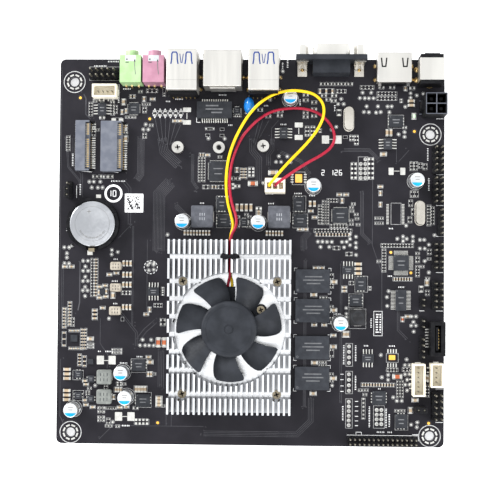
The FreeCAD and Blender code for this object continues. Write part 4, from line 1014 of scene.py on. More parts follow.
@dataclass
class RearPorts:
    """Everything along the rear edge: audio, data, network, monitor, video and power."""

    def build(self) -> None:
        """Build each port in turn, from left to right."""
        self.audio("audio_jack_green", LIME)
        self.audio("audio_jack_pink", PINK)
        dress(PORT_STEEL, "usb_shell_left", "usb_shell_right", "lan_shield", "video_port_shell", edge=0.3)
        dress(PORT_STEEL, "dc_jack_shield", edge=0.2)
        dress(BLUE, "usb_inserts", edge=0.15)
        dress(BLACK, "lan_insert", "video_port_tongue", "dc_jack_housing", edge=0.15)
        dress(SILVER, "dc_jack_pin")
        self.data("usb_shell_left")
        self.data("usb_shell_right")
        self.network()
        self.monitor()
        self.video()
        self.inlet()

    def audio(self, node: str, finish: Finish) -> None:
        """One audio jack's contacts, top window and back seam over its moulding."""
        dress(finish, node, edge=0.25)
        jack = places(node)[0]
        x = jack.middle.x
        name = node.replace("audio_jack", "audio_contacts")
        metal = Solid(name)
        top = jack.high.z
        front = jack.high.y
        metal.block(x + 0.1, front - 4.1, top - 0.02, 4.6, 2.6, 0.05, CAN_METAL, corner=0.3)
        metal.block(x - 1.5, front - 4.6, top + 0.01, 0.6, 0.6, 0.05, RESISTOR)
        metal.block(x + 1.9, front - 5.2, top + 0.01, 0.5, 0.9, 0.05, RESISTOR)
        metal.block(x - 1.4, front - 5.9, top - 0.01, 1.4, 0.35, 0.05, RESISTOR)
        metal.line([(x + 1.8, front - 4.8), (x + 1.9, front - 7.6), (x + 2.3, front - 11.2)], 0.32,
                   top - 0.01, 0.05,
                   DARK_STEEL)
        back = jack.low.y
        for offset in (-2.9, -0.4, 2.6):
            metal.strap([(x + offset, back + 0.1, 3.6), (x + offset, back - 0.4, 3.4),
                         (x + offset, back - 0.8, 2.5), (x + offset, back - 0.85, BOARD_TOP)],
                        X_AXIS, 0.8, 0.25, GILT)
        axis = jack.low.z + 5.6
        for side in (-1, 1):
            metal.strap([(x + side * 1.55, front - 9.5, axis), (x + side * 1.2, front - 7.0, axis),
                         (x + side * 1.6, front - 5.0, axis)], Z_AXIS, 0.9, 0.15, GILT)
        metal.make()

    def data(self, node: str) -> None:
        """The spring fingers, seams, contacts and feet of one stacked pair of data ports."""
        shell = places(node)[0]
        x, top, mouth = shell.middle.x, shell.high.z, shell.high.y
        work = Solid(node.replace("shell", "springs"))
        for side in (-1, 1):
            middle = x + side * 3.05
            arch = [(middle - 1.55, mouth - 6.6), (middle - 1.2, mouth - 4.6), (middle - 1.15, mouth - 2.2),
                    (middle - 0.75, mouth - 1.5), (middle + 0.75, mouth - 1.5), (middle + 1.15, mouth - 2.2),
                    (middle + 1.2, mouth - 4.6), (middle + 1.55, mouth - 6.6)]
            work.line(arch, 0.55, top - 0.03, 0.06, BLUE)
            work.block(middle, mouth - 3.1, top - 0.02, 1.3, 1.6, 0.12, PORT_STEEL, 0.05, corner=0.3)
            work.line([(x + side * 0.75, mouth - 2.2), (x + side * 0.2, mouth - 6.2)], 0.34, top - 0.02, 0.05,
                      BLUE)
            edge = x + side * shell.size.x / 2
            for level in (0.3, 0.72):
                height = shell.low.z + shell.size.z * level
                work.strap([(edge, mouth - 5.0, height), (edge + side * 0.35, mouth - 2.6, height),
                            (edge + side * 0.75, mouth - 1.2, height),
                            (edge + side * 0.45, mouth - 0.4, height)], Z_AXIS, 2.2, 0.2, PORT_STEEL)
            for back in (9.6, 15.0):
                work.strap([(edge - side * 0.05, mouth - back, 3.4), (edge + side * 0.3, mouth - back, 2.6),
                            (edge + side * 0.35, mouth - back, BOARD_TOP)], Y_AXIS, 1.6, 0.3, PORT_STEEL)
                work.turned(edge + side * 0.55, mouth - back, [(0.95, BOARD_TOP), (0.75, 1.95), (0.3, 2.5)],
                            GILT, 14)
        for level in (0, 1):
            height = shell.low.z + (4.0 if level == 0 else 12.1)
            for pin in range(5):
                work.block(x + (pin - 2) * 2.0, mouth - 8.0, height + 0.9, 0.7, 9.0, 0.12, GILT)
        work.line([(x - shell.size.x / 2 + 0.2, mouth - 13.4), (x + shell.size.x / 2 - 0.2, mouth - 13.4)],
                  0.08,
                  top - 0.02, 0.035, DARK_STEEL)
        work.block(x, shell.low.y - 0.55, BOARD_TOP, shell.size.x - 0.6, 1.1, shell.size.z - 3.4, BLACK, 0.2)
        for pin in range(6):
            work.strap([(x + (pin - 2.5) * 1.9, shell.low.y - 1.0, 3.2),
                        (x + (pin - 2.5) * 1.9, shell.low.y - 1.45, 2.6),
                        (x + (pin - 2.5) * 1.9, shell.low.y - 1.5, BOARD_TOP)], X_AXIS, 0.4, 0.2, GILT)
        work.make()

    def network(self) -> None:
        """The network port's contacts, side tabs, lamps and rear lip."""
        shield = places("lan_shield")[0]
        x, mouth = shield.middle.x, shield.high.y
        work = Solid("network_contacts")
        for pin in range(8):
            across = x + (pin - 3.5) * 1.02
            work.strap([(across, mouth - 2.0, 12.0), (across, mouth - 4.0, 11.7),
                        (across, mouth - 9.6, 9.3)], X_AXIS, 0.35, 0.2, GILT)
        work.block(x, shield.low.y - 0.3, 3.2, 11.0, 0.6, 9.6, PORT_STEEL, 0.15)
        for side, lamp in ((-1, GREEN_LAMP), (1, AMBER)):
            work.block(x + side * 6.9, mouth - 0.6, 2.2, 1.7, 1.3, 2.2, lamp, 0.2)
            edge = x + side * shield.size.x / 2
            work.strap([(edge, mouth - 5.0, 8.5), (edge + side * 0.3, mouth - 3.0, 8.5),
                        (edge + side * 0.6, mouth - 1.4, 8.5), (edge + side * 0.3, mouth - 0.4, 8.5)],
                       Z_AXIS, 3.0, 0.2, PORT_STEEL)
            work.turned(edge + side * 0.5, mouth - 9.6, [(0.95, BOARD_TOP), (0.75, 1.95), (0.3, 2.6)], GILT,
                        14)
        work.make()

    def monitor(self) -> None:
        """The monitor port: its D shell, nuts, forked board locks and signal feet."""
        dress(FAN_BLACK, "monitor_port_body", edge=0.2)
        dress(PORT_STEEL, "monitor_port_shell", edge=0.1)
        dress(PORT_STEEL, "monitor_port_nuts", edge=0.15)
        dress(CRYSTAL_METAL, "monitor_port_brackets", edge=0.15)
        body = places("monitor_port_body")[0]
        work = Solid("monitor_port_feet")
        flange = body.high.y - 2.1 - 4.5
        work.block(body.middle.x, 84.85, body.high.z - 2.2, body.size.x - 4.0, 0.3, 1.2, PORT_STEEL)
        for side in (-1, 1):
            for tine in (-0.9, 0.9):
                work.strap([(body.middle.x + side * 12.5 + tine, 82.6, 3.4),
                            (body.middle.x + side * 12.5 + tine * 1.5, 80.6, 3.2),
                            (body.middle.x + side * 12.5 + tine * 1.2, 79.4, 1.7)], X_AXIS, 0.8,
                           0.35, CRYSTAL_METAL)
            work.turned(body.middle.x + side * 12.5, 80.2, [(1.2, BOARD_TOP), (1.0, 2.0), (0.3, 2.7)], GILT,
                        14)
        for pin in range(8):
            across = body.middle.x + (pin - 3.5) * 1.9
            work.strap([(across, flange + 0.4, 5.0), (across, flange - 0.9, 4.6),
                        (across, flange - 1.3, BOARD_TOP)], X_AXIS, 0.5, 0.3, TINNED)
        work.block(body.middle.x, flange - 0.4, 5.4, 14.6, 1.2, 3.0, BLACK, 0.2)
        work.make()

    def video(self) -> None:
        """The flat video port's slots, contacts and feet."""
        shell = places("video_port_shell")[0]
        x, top, mouth = shell.middle.x, shell.high.z, shell.high.y
        work = Solid("video_port_springs")
        for side in (-1, 1):
            middle = x + side * 4.6
            work.line([(middle - 1.15, mouth - 2.4), (middle - 0.75, mouth - 6.2),
                       (middle + 0.75, mouth - 6.2),
                       (middle + 1.15, mouth - 2.4)], 0.6, top - 0.03, 0.05, BLACK)
            edge = x + side * shell.size.x / 2
            for back in (5.0, 11.0):
                work.turned(edge + side * 0.5, mouth - back, [(1.0, BOARD_TOP), (0.8, 1.95), (0.3, 2.5)],
                            GILT, 14)
                work.strap([(edge - side * 0.05, mouth - back, 3.2), (edge + side * 0.3, mouth - back, 2.4),
                            (edge + side * 0.3, mouth - back, BOARD_TOP)], Y_AXIS, 1.4, 0.3, PORT_STEEL)
            work.block(x + side * 6.2, shell.low.y - 0.5, BOARD_TOP, 1.4, 1.2, 3.2, DARK_STEEL, 0.15)
        work.block(x, shell.low.y - 0.35, BOARD_TOP, 12.6, 0.7, 3.0, BLACK, 0.15)
        for pin in range(10):
            work.block(x + (pin - 4.5) * 1.0, mouth - 4.6, 5.2, 0.4, 6.0, 0.1, GILT)
        work.make()

    def inlet(self) -> None:
        """The power inlet's rear block and side leaf."""
        shield = places("dc_jack_shield")[0]
        x = shield.middle.x
        work = Solid("power_inlet_feet")
        work.block(x, shield.low.y - 0.75, BOARD_TOP, 9.6, 1.3, 6.2, BLACK, 0.25)
        for px, py in ((x, 73.4), (x - 5.6, 76.0), (x - 5.6, 80.6)):
            work.turned(px, py, [(1.25, BOARD_TOP), (1.0, 2.0), (0.35, 2.6)], GILT, 14)
        work.block(x, 85.62, shield.high.z - 0.9, 6.6, 0.5, 0.7, BLACK, 0.1)
        work.make()


# ---------------------------------------------------------------- sockets, cell and headers

@dataclass
class Sockets:
    """The power socket, the card sockets with their standoffs, and the drive port."""

    def build(self) -> None:
        """Dress the sockets and add their contacts and marks."""
        dress(BLACK, "power_socket", "sata_port", edge=0.25)
        dress(SLATE, "card_socket_left", "card_socket_right", edge=0.3)
        dress(DARK_STEEL, "card_socket_contacts", edge=0.0)
        dress(SILVER, "card_standoffs", edge=0.2)
        dress(SILVER, "card_screws", edge=0.3)
        self.cards()
        self.power()

    def cards(self) -> None:
        """Rows of contacts, solder feet and end posts of the two card sockets, with painted shade down the empty
        standoff's bore and in the card screws' recesses.
        """
        work = Solid("card_socket_feet")
        for node, reach in (("card_socket_left", 2.2), ("card_socket_right", 1.9)):
            socket = places(node)[0]
            front, back = socket.low.y + 0.9, socket.high.y - 0.9
            count = int((back - front) / 1.0)
            for number in range(count):
                y = front + (number + 0.5) * (back - front) / count
                if abs(y - socket.middle.y - 5.2) < 1.4:
                    continue
                work.block(socket.high.x + reach / 2 - 0.1, y, 1.62, reach, 0.42, 0.16, TINNED)
                work.strap([(socket.high.x - 2.8, y, 3.2), (socket.high.x - 0.9, y, 3.6),
                            (socket.high.x - 0.1, y, 2.9), (socket.high.x + 0.5, y, 1.85)],
                           Y_AXIS, 0.36, 0.16, GILT)
                work.block(socket.low.x - 0.35, y, 1.62, 0.9, 0.36, 0.14, TINNED)
            for end in (-1, 1):
                y = socket.middle.y + end * (socket.size.y / 2 - 0.45)
                work.block(socket.high.x - 1.2, y, BOARD_TOP, 2.6, 0.9, socket.size.z - 0.6, BLACK, 0.15)
                work.turned(socket.high.x + 0.9, y - end * 0.1, [(0.75, BOARD_TOP), (0.75, 2.1), (0.55, 2.3)],
                            BLACK, 16)
        for strip in places("card_socket_contacts"):
            count = int(strip.size.y / 0.8)
            for number in range(count):
                y = strip.low.y + (number + 0.5) * strip.size.y / count
                for shift, finish in ((-0.27, TINNED), (0.22, GILT)):
                    work.block(strip.middle.x + shift * strip.size.x, y, strip.high.z - 0.03,
                               strip.size.x * 0.38, 0.4,
                               0.08, finish)
        # painted shade: a black disc down the bore of the standoff that has no screw
        bore = places("card_standoffs")[1]
        work.turned(bore.middle.x, bore.middle.y, [(0.95, bore.high.z - 1.0), (0.95, bore.high.z - 0.6)],
                    BLACK, 20)
        # painted shade: two crossed black strips on each card screw stand for its shadowed cross recess
        for standoff in places("card_screws"):
            for turn in (12, 102):
                work.block(standoff.middle.x, standoff.middle.y, standoff.high.z - 0.01, 2.1, 0.45, 0.04,
                           BLACK,
                           turn=turn)
        work.make()

    def power(self) -> None:
        """The power socket's rim and latch ramp, and black caps on its pin tops as painted shade in its cavities."""
        socket = places("power_socket")[0]
        middle = Vector((79.9, 63.8, 0.0))
        work = Solid("power_socket_rim_and_pin_shade")
        # painted shade: a black cap on each pin top darkens the pins down in the socket's cavities
        for x, y in grid(middle.x, middle.y, 2, 2, 4.2):
            tips = [pin.high.z for pin in places("header_pins") if abs(pin.middle.x - x) + abs(pin.middle.y - y) < 1]
            work.block(x, y, max(tips, default=socket.high.z - 4) - 0.02, 1.3, 1.3, 0.05, BLACK)
        top = socket.high.z
        for side in (-1, 1):
            work.block(middle.x + side * 4.45, middle.y, top - 0.02, 0.22, 9.0, 0.06, SLATE)
            work.block(middle.x, middle.y + side * 4.45, top - 0.02, 9.0, 0.22, 0.06, SLATE)
        work.block(middle.x, middle.y, top - 0.05, 0.3, 8.4, 0.08, SLATE)
        work.block(middle.x, middle.y, top - 0.05, 8.4, 0.3, 0.08, SLATE)
        for side in (-1, 1):
            work.line([(73.9, 63.8 + side * 2.9), (75.0, 63.8 + side * 2.9)], 0.3, BOARD_TOP, 0.5, SLATE)
        work.make()
        drive = places("sata_port")[0]
        leads = Solid("drive_port_contacts")
        for number in range(7):
            y = drive.middle.y + (number - 3) * 1.27
            leads.block(drive.middle.x + 0.35, y, 3.2, 0.14, 0.7, 5.6, GILT)
            leads.block(drive.low.x - 0.7, y, BOARD_TOP, 1.4, 0.5, 0.2, TINNED)
        for end in (-1, 1):
            leads.block(drive.middle.x, drive.middle.y + end * 6.55, 3.4, 3.4, 0.3, drive.size.z - 2.3,
                        DARK_STEEL, 0.1)
        leads.make()


@dataclass
class CoinCell:
    """The coin cell in its round holder with its front spring."""

    def build(self) -> None:
        """Dress the holder and spring, and turn the cell."""
        dress(BLACK, "battery_holder", edge=0.25)
        dress(SCREW_METAL, "battery_latch", edge=0.1)
        low, high = (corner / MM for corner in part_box("coin_cell"))
        x, y = (low.x + high.x) / 2, (low.y + high.y) / 2
        radius = (high.x - low.x) / 2
        cell = Solid("coin_cell_cups")
        profile = [(radius - 1.4, low.z), (radius - 1.1, low.z + 0.35), (radius - 0.9, low.z + 0.7),
                   (radius - 0.35, low.z + 0.75), (radius - 0.35, low.z + 0.95),
                   (radius - 0.05, low.z + 1.05),
                   (radius, low.z + 1.2), (radius, high.z - 0.45), (radius - 0.12, high.z - 0.16),
                   (radius - 0.42, high.z), (radius - 0.95, high.z), (radius - 1.1, high.z - 0.05),
                   (0.6, high.z - 0.05)]
        cell.turned(x, y, profile, CELL_STEEL, 96)
        top = high.z - 0.05
        for arm in (0, 90):
            cell.block(x - 1.5, y + 5.4, top - 0.02, 1.7, 0.28, 0.05, DARK_STEEL, turn=arm)
        cell.ring(x, y, top - 0.02, 7.55, 7.66, 0.045, DARK_STEEL, 72)
        for tick in range(24):
            turn = math.radians(30 + tick * 5.2)
            cell.block(x + 6.2 * math.cos(turn), y - 6.2 * math.sin(turn), top - 0.02, 0.3,
                       0.75 if tick % 3 else 0.4,
                       0.04, DARK_STEEL, turn=-math.degrees(turn) - 90)
        cell.make("cell", ("coin_cell",), crease=25.0)
        trim = Solid("battery_holder_tabs")
        for turn in (35, 145, 215, 325):
            px, py = x + 10.75 * math.cos(math.radians(turn)), y + 10.75 * math.sin(math.radians(turn))
            trim.block(px, py, 5.15, 1.0, 2.6, 0.35, BLACK, 0.12, turn)
        trim.block(x + 2.0, y + 12.4, BOARD_TOP, 2.2, 1.6, 0.25, TINNED, 0.08)
        trim.block(x - 1.5, y - 12.6, BOARD_TOP, 2.4, 2.0, 0.25, TINNED, 0.08)
        trim.turned(x - 9.6, y - 9.6, [(0.9, BOARD_TOP), (0.7, 2.0), (0.3, 2.4)], SOLDER, 16)
        trim.make()


@dataclass
class Headers:
    """Pin headers with notched bases, the white wafers, and the jumper caps."""

    notch: float = 0.42

    def build(self) -> None:
        """Build the bases and dress the rest."""
        dress(PIN, "header_pins", edge=0.14, steps=1)
        dress(IVORY, "wafer_connectors", edge=0.2)
        dress(BLACK, "jumper_cap_left", "jumper_cap_right", edge=0.3)
        work = Solid("header_bodies")
        for base in places("header_bases"):
            spare = min(base.size.x, base.size.y) % WIDE_PITCH
            step = WIDE_PITCH if spare < 0.05 or spare > WIDE_PITCH - 0.05 else FINE_PITCH
            columns, rows = round(base.size.x / step), round(base.size.y / step)
            for x, y in grid(base.middle.x, base.middle.y, columns, rows, step):
                half, cut = step / 2, self.notch
                outline = [(-half + cut, -half), (half - cut, -half), (half, -half + cut), (half, half - cut),
                           (half - cut, half), (-half + cut, half), (-half, half - cut), (-half, -half + cut)]
                work.prism(moved(outline, x, y), base.low.z, base.high.z, BLACK, 0.12)
        work.make(replaces=("header_bases",))
        self.wafers()

    def wafers(self) -> None:
        """The wafers' side slots and their solder feet."""
        work = Solid("wafer_feet")
        for wafer in places("wafer_connectors"):
            upright = wafer.size.y > wafer.size.x
            long = wafer.size.y if upright else wafer.size.x
            count = int((long - 2.4) / 2.0)
            for number in range(count):
                shift = (number - (count - 1) / 2) * 2.0
                x, y = (wafer.low.x - 0.5, wafer.middle.y + shift) if upright else (wafer.middle.x + shift,
                                                                                    wafer.low.y - 0.5)
                work.block(x, y, BOARD_TOP, 1.0 if upright else 0.5, 0.5 if upright else 1.0, 0.25, TINNED)
            for end in (-1, 1):
                if upright:
                    work.block(wafer.middle.x, wafer.middle.y + end * (long / 2 + 0.15), BOARD_TOP, 2.4, 0.5,
                               0.3, TINNED)
                    work.block(wafer.high.x - 0.35, wafer.middle.y + end * long * 0.28, 7.58, 0.72, 1.4, 0.05,
                               IVORY)
                else:
                    work.block(wafer.middle.x + end * (long / 2 + 0.15), wafer.middle.y, BOARD_TOP, 0.5, 2.4,
                               0.3, TINNED)
        work.make()


# ---------------------------------------------------------------- parts on the board

@dataclass
class BoardParts:
    """Cans, chokes, chips, crystals and the other soldered parts."""

    def build(self) -> None:
        """Build each family of parts."""
        self.cans()
        self.chokes()
        self.crystals()
        self.disc()
        dress(EPOXY, "control_chips", "power_transistors", "lan_transformer", edge=0.12)
        dress(MEMORY_EPOXY, "memory_chips", edge=0.08)
        dress(CERAMIC, "chip_capacitors", edge=0.08, steps=1)
        self.leads()
        self.memory()
        self.transformer()
        self.capacitor_ends()

    def cans(self) -> None:
        """Polymer cans: a rubber foot, a crimped wall, a rounded rim and an azure band at the front."""
        work = Solid("polymer_cans")
        for can in places("capacitor_cans"):
            x, y, radius, top = can.middle.x, can.middle.y, can.size.x / 2, can.high.z
            work.turned(x, y, [(radius - 0.35, BOARD_TOP), (radius - 0.3, 2.05)], BLACK)
            work.turned(x, y, [(radius - 0.12, 2.0), (radius, 2.15), (radius, 2.9), (radius - 0.28, 3.15),
                               (radius - 0.28, 3.35), (radius, 3.6), (radius, top - 0.5),
                               (radius - 0.15, top - 0.16),
                               (radius - 0.42, top - 0.03), (radius - 0.7, top - 0.03),
                               (radius - 0.8, top - 0.12)],
                        CAN_METAL, 48)
            reach = radius - 0.42
            chord = reach * 0.42
            start = math.acos(chord / reach)
            band = [(x + reach * math.sin(turn), y - reach * math.cos(turn))
                    for turn in (-start + 2 * start * step / 16 for step in range(17))]
            work.prism(band, top - 0.14, top - 0.015, AZURE)
            for line in range(2):
                work.block(x, y + 1.3 - line * 1.1, top - 0.13, 2.2 - line * 0.5, 0.3, 0.02, DARK_STEEL)
        work.make(replaces=("capacitor_cans",), crease=30.0)
        rings = Solid("can_outlines")
        for can in places("capacitor_cans"):
            rings.ring(can.middle.x, can.middle.y, BOARD_TOP, can.size.x / 2 + 0.42, can.size.x / 2 + 0.6,
                       INK, FAINT_INK)
        rings.make()

    def chokes(self) -> None:
        """Pressed chokes with round corners, a shallow top step and folded tinned ends."""
        for node, big in (("power_chokes", True), ("supply_chokes", False)):
            work = Solid(node.replace("chokes", "choke_bodies"))
            for choke in places(node):
                x, y, wide, long = choke.middle.x, choke.middle.y, choke.size.x, choke.size.y
                beige = not big and choke.size.z < 2.8
                finish = FERRITE if big else BEIGE_FERRITE if beige else DARK_FERRITE if x > 0 else SMALL_FERRITE
                work.block(x, y, 1.75, wide - 0.3, long - 0.3, choke.size.z - 0.15, finish, 0.28, corner=0.75)
                work.block(x, y, 1.62, wide - 0.9, long - 0.9, 0.3, BLACK)
                if not big and x < 0:
                    for row in range(2):
                        for column in range(3):
                            work.block(x - wide * 0.22 + column * wide * 0.22, y + long * (0.17 - 0.34 * row),
                                       choke.high.z - 0.02, 0.28, long * 0.2, 0.03, EPOXY)
                if not big and x > 0:
                    work.ring(x, y, choke.high.z - 0.02, min(wide, long) * 0.33, min(wide, long) * 0.37, 0.03,
                              EPOXY)
                for end in (-1, 1):
                    if big or wide >= long:
                        work.block(x + end * (wide / 2 - 0.12), y, 1.62, 0.24, long * 0.46,
                                   choke.size.z * 0.5, TINNED,
                                   0.06)
                    else:
                        work.block(x, y + end * (long / 2 - 0.12), 1.62, wide * 0.46, 0.24,
                                   choke.size.z * 0.5, TINNED,
                                   0.06)
                if big:
                    for row in range(2):
                        for column in range(3):
                            work.block(x - 0.9 + column * 0.95, y + 0.9 - row * 1.9, choke.high.z - 0.02, 0.3,
                                       1.2,
                                       0.03, PAD_GREY)
            work.make(replaces=(node,))

    def crystals(self) -> None:
        """Two resonator cans: a flange at the foot and a drawn top with round ends."""
        work = Solid("crystal_cans")
        for crystal in places("crystals"):
            wide, long = crystal.size.x, crystal.size.y
            rings = []
            for level, shrink in ((BOARD_TOP, 0.0), (2.0, 0.0), (2.1, 0.28), (crystal.high.z - 0.4, 0.3),
                                  (crystal.high.z - 0.12, 0.42), (crystal.high.z, 0.75)):
                outline = moved(rounded(wide - 2 * shrink, long - 2 * shrink, wide / 2 - shrink - 0.02, 10),
                                crystal.middle.x, crystal.middle.y)
                rings.append([Vector((x, y, level)) for x, y in outline])
            work.stack(rings, CRYSTAL_METAL)
        work.make(replaces=("crystals",), crease=30.0)

    def disc(self) -> None:
        """The dipped blue disc that stands on edge beside the network port."""
        disc = places("surge_disc")[0]
        x, y = disc.middle.x, disc.middle.y
        work = Solid("dipped_disc")
        wide, long = disc.size.x / 2, disc.size.y / 2
        middle = disc.high.z - long
        rings = []
        for step in range(1, 16):
            turn = math.radians(-90 + 180 * step / 16)
            outline = [(wide * math.cos(turn) * math.cos(math.tau * at / 28),
                        long * math.cos(turn) * math.sin(math.tau * at / 28)) for at in range(28)]
            rings.append([Vector((x + px, y + py, middle + long * math.sin(turn))) for px, py in outline])
        work.stack(rings, DISC_BLUE)
        for end in (-1, 1):
            work.strap([(x - 0.4, y + end * 1.9, 3.6), (x - 1.2, y + end * 2.3, 2.8),
                        (x - 1.4, y + end * 2.3, BOARD_TOP)], Y_AXIS, 0.5, 0.5, TINNED)
            work.turned(x - 1.4, y + end * 2.3, [(0.8, BOARD_TOP), (0.35, 2.1)], SOLDER, 14)
        work.make(replaces=("surge_disc",), crease=40.0)

    def leads(self) -> None:
        """Bent leads or edge pads round every chip and transistor."""
        work = Solid("chip_leads")
        for chip_place in places("control_chips") + places("power_transistors"):
            wide, long, tall = chip_place.size
            middle = chip_place.middle
            flat = tall < 1.3
            square = abs(wide - long) < 0.9
            if tall > 1.3 and not square:
                self.gull(work, chip_place, wide < long, 14 if max(wide, long) > 8 else 4)
            elif tall > 1.3:
                self.gull(work, chip_place, True, 14)
                self.gull(work, chip_place, False, 14)
            if flat:
                self.edge_pads(work, chip_place, square)
            work.ring(middle.x - wide / 2 + 0.6, middle.y + long / 2 - 0.6, chip_place.high.z - 0.02, 0.16,
                      0.26, 0.03,
                      LASERED, 14)
            for line in range(2):
                work.block(middle.x, middle.y + long * (0.12 - 0.26 * line), chip_place.high.z - 0.01,
                           wide * (0.5 - 0.1 * line), min(0.42, long * 0.1), 0.014, LASERED)
        work.make()

    @staticmethod
    def gull(work: Solid, package: Place, sideways: bool, count: int) -> None:
        """Gull-wing leads on two opposite sides.

        Args:
            work: the piece they are gathered into.
            package: the chip's box.
            sideways: whether the leads leave along X.
            count: how many there are on a side.
        """
        pitch = 1.27 if count == 4 else min(0.65,
                                            (package.size.y if sideways else package.size.x) / (count + 1.2))
        wide = 0.42 if count == 4 else pitch * 0.38
        half = (package.size.x if sideways else package.size.y) / 2
        for side in (-1, 1):
            for number in range(count):
                shift = (number - (count - 1) / 2) * pitch
                bends = [(side * (half + out), shift, height) for out, height in GULL_BENDS]
                foot, size = (side * (half + 1.15), shift), (1.7, wide)
                if not sideways:
                    bends = [(across, out, height) for out, across, height in bends]
                    foot, size = (foot[1], foot[0]), (wide, 1.7)
                middle = package.middle
                work.strap([(middle.x + x, middle.y + y, height) for x, y, height in bends],
                           Y_AXIS if sideways else X_AXIS, wide, 0.15, TINNED)
                work.block(middle.x + foot[0], middle.y + foot[1], BOARD_TOP, *size, 0.05, TINNED)

    @staticmethod
    def edge_pads(work: Solid, package: Place, square: bool) -> None:
        """Pads that show round a flat chip's edges.

        Args:
            work: the piece they are gathered into.
            package: the chip's box.
            square: whether all four sides have them.
        """
        wide, long = package.size.x, package.size.y
        coarse = max(wide, long) < 6.4 and package.size.z > 0.95
        pitch = 1.27 if coarse else 0.5
        reach = 0.6 if coarse else 0.5
        for side in (-1, 1):
            for across, along, sideways in ((wide, long, True), (long, wide, False)):
                if not (square and not coarse) and sideways != (wide >= long):
                    continue
                count = max(2, int((along - 0.8) / pitch))
                for number in range(count):
                    place = (side * (across / 2 + 0.12), (number - (count - 1) / 2) * pitch)
                    size = (reach, pitch * 0.5)
                    if not sideways:
                        place, size = (place[1], place[0]), (size[1], size[0])
                    work.block(package.middle.x + place[0], package.middle.y + place[1], BOARD_TOP, *size,
                               0.16,
                               TINNED)

    def memory(self) -> None:
        """Outlines, solder balls and marks of the four memory chips."""
        work = Solid("memory_marks")
        for memory in places("memory_chips"):
            middle, (wide, long, _) = memory.middle, memory.size
            for side in (-1, 1):
                for end in (-1, 1):
                    corner = (middle.x + side * (wide / 2 + 0.55), middle.y + end * (long / 2 + 0.55))
                    work.line([(corner[0] - side * 1.3, corner[1]), corner,
                               (corner[0], corner[1] - end * 1.3)], 0.16,
                              BOARD_TOP, INK, INKED)
            for line, share in enumerate((0.5, 0.62, 0.4)):
                work.block(middle.x + 0.4, middle.y + 1.9 - line * 1.5, memory.high.z - 0.008, wide * share,
                           0.55,
                           0.012, LASERED)
            work.ring(middle.x - wide / 2 + 1.1, middle.y - long / 2 + 1.1, memory.high.z - 0.01, 0.3, 0.5,
                      0.014,
                      LASERED, 20)
            for x, y in grid(middle.x, middle.y, 12, 9, 0.8):
                if abs(x - middle.x) > 4.2 or abs(y - middle.y) > 2.8:
                    work.turned(x, y, [(0.16, BOARD_TOP), (0.22, 1.66)], SOLDER, 6)
        work.make()

    def transformer(self) -> None:
        """The network transformer's two rows of leads and its marks."""
        box_place = places("lan_transformer")[0]
        work = Solid("transformer_leads")
        for side in (-1, 1):
            for number in range(12):
                x = box_place.middle.x + (number - 5.5) * 1.0
                edge = box_place.middle.y + side * box_place.size.y / 2
                work.strap([(x, edge - side * 0.1, 3.4), (x, edge + side * 0.5, 3.35),
                            (x, edge + side * 0.85, 1.85), (x, edge + side * 1.6, 1.72)],
                           X_AXIS, 0.42, 0.22, TINNED)
        for line, share in enumerate((0.36, 0.5, 0.3)):
            work.block(box_place.middle.x - 1.0 + line, box_place.middle.y + 1.7 - line * 1.5,
                       box_place.high.z - 0.01,
                       box_place.size.x * share, 0.6, 0.014, LASERED)
        work.make()

    def capacitor_ends(self) -> None:
        """Tinned ends of the larger ceramic capacitors."""
        work = Solid("capacitor_ends")
        for part in places("chip_capacitors"):
            x, y, (wide, long, tall) = part.middle.x, part.middle.y, part.size
            upright = long >= wide
            reach, across = (long / 2, wide) if upright else (wide / 2, long)
            for end in (-1, 1):
                for out, thick, spare, high, edge in ((-0.14, 0.4, across + 0.06, tall + 0.03, 0.06),
                                                      (0.1, 0.5, across * 1.1, 0.05, 0.0)):
                    shift = end * (reach + out)
                    place = (x, y + shift) if upright else (x + shift, y)
                    size = (spare, thick) if upright else (thick, spare)
                    work.block(*place, BOARD_TOP, *size, high, TINNED, edge)
        work.make()


@dataclass
class SmallParts:
    """The hundreds of small two-ended parts, bare pads and lamps between the chips."""

    def build(self) -> None:
        """Lay every row of the small-part list."""
        work = Solid("small_parts")
        for (kind, size, upright), rows in PARTS.items():
            for x, y, *repeat in rows:
                count, across, along = (repeat + [0.0, 0.0])[:3] if repeat else (1, 0.0, 0.0)
                for number in range(int(count)):
                    chip(work, x + number * across, y + number * along, size, 1, upright, BODIES.get(kind))
        for x, y in DOTS:
            work.turned(x, y, [(0.52, BOARD_TOP), (0.47, BOARD_TOP + 0.08), (0.1, BOARD_TOP + 0.1)], TINNED,
                        14)
        for x, y, wide, long, tall in SMALL_CHIPS:
            work.block(x, y, BOARD_TOP, wide, long, tall, EPOXY, 0.08)
        for x, y in LEFT_PADS:
            work.block(x, y, BOARD_TOP, 1.1, 0.34, 0.04, TINNED)
        work.make()


# ---------------------------------------------------------------- stage

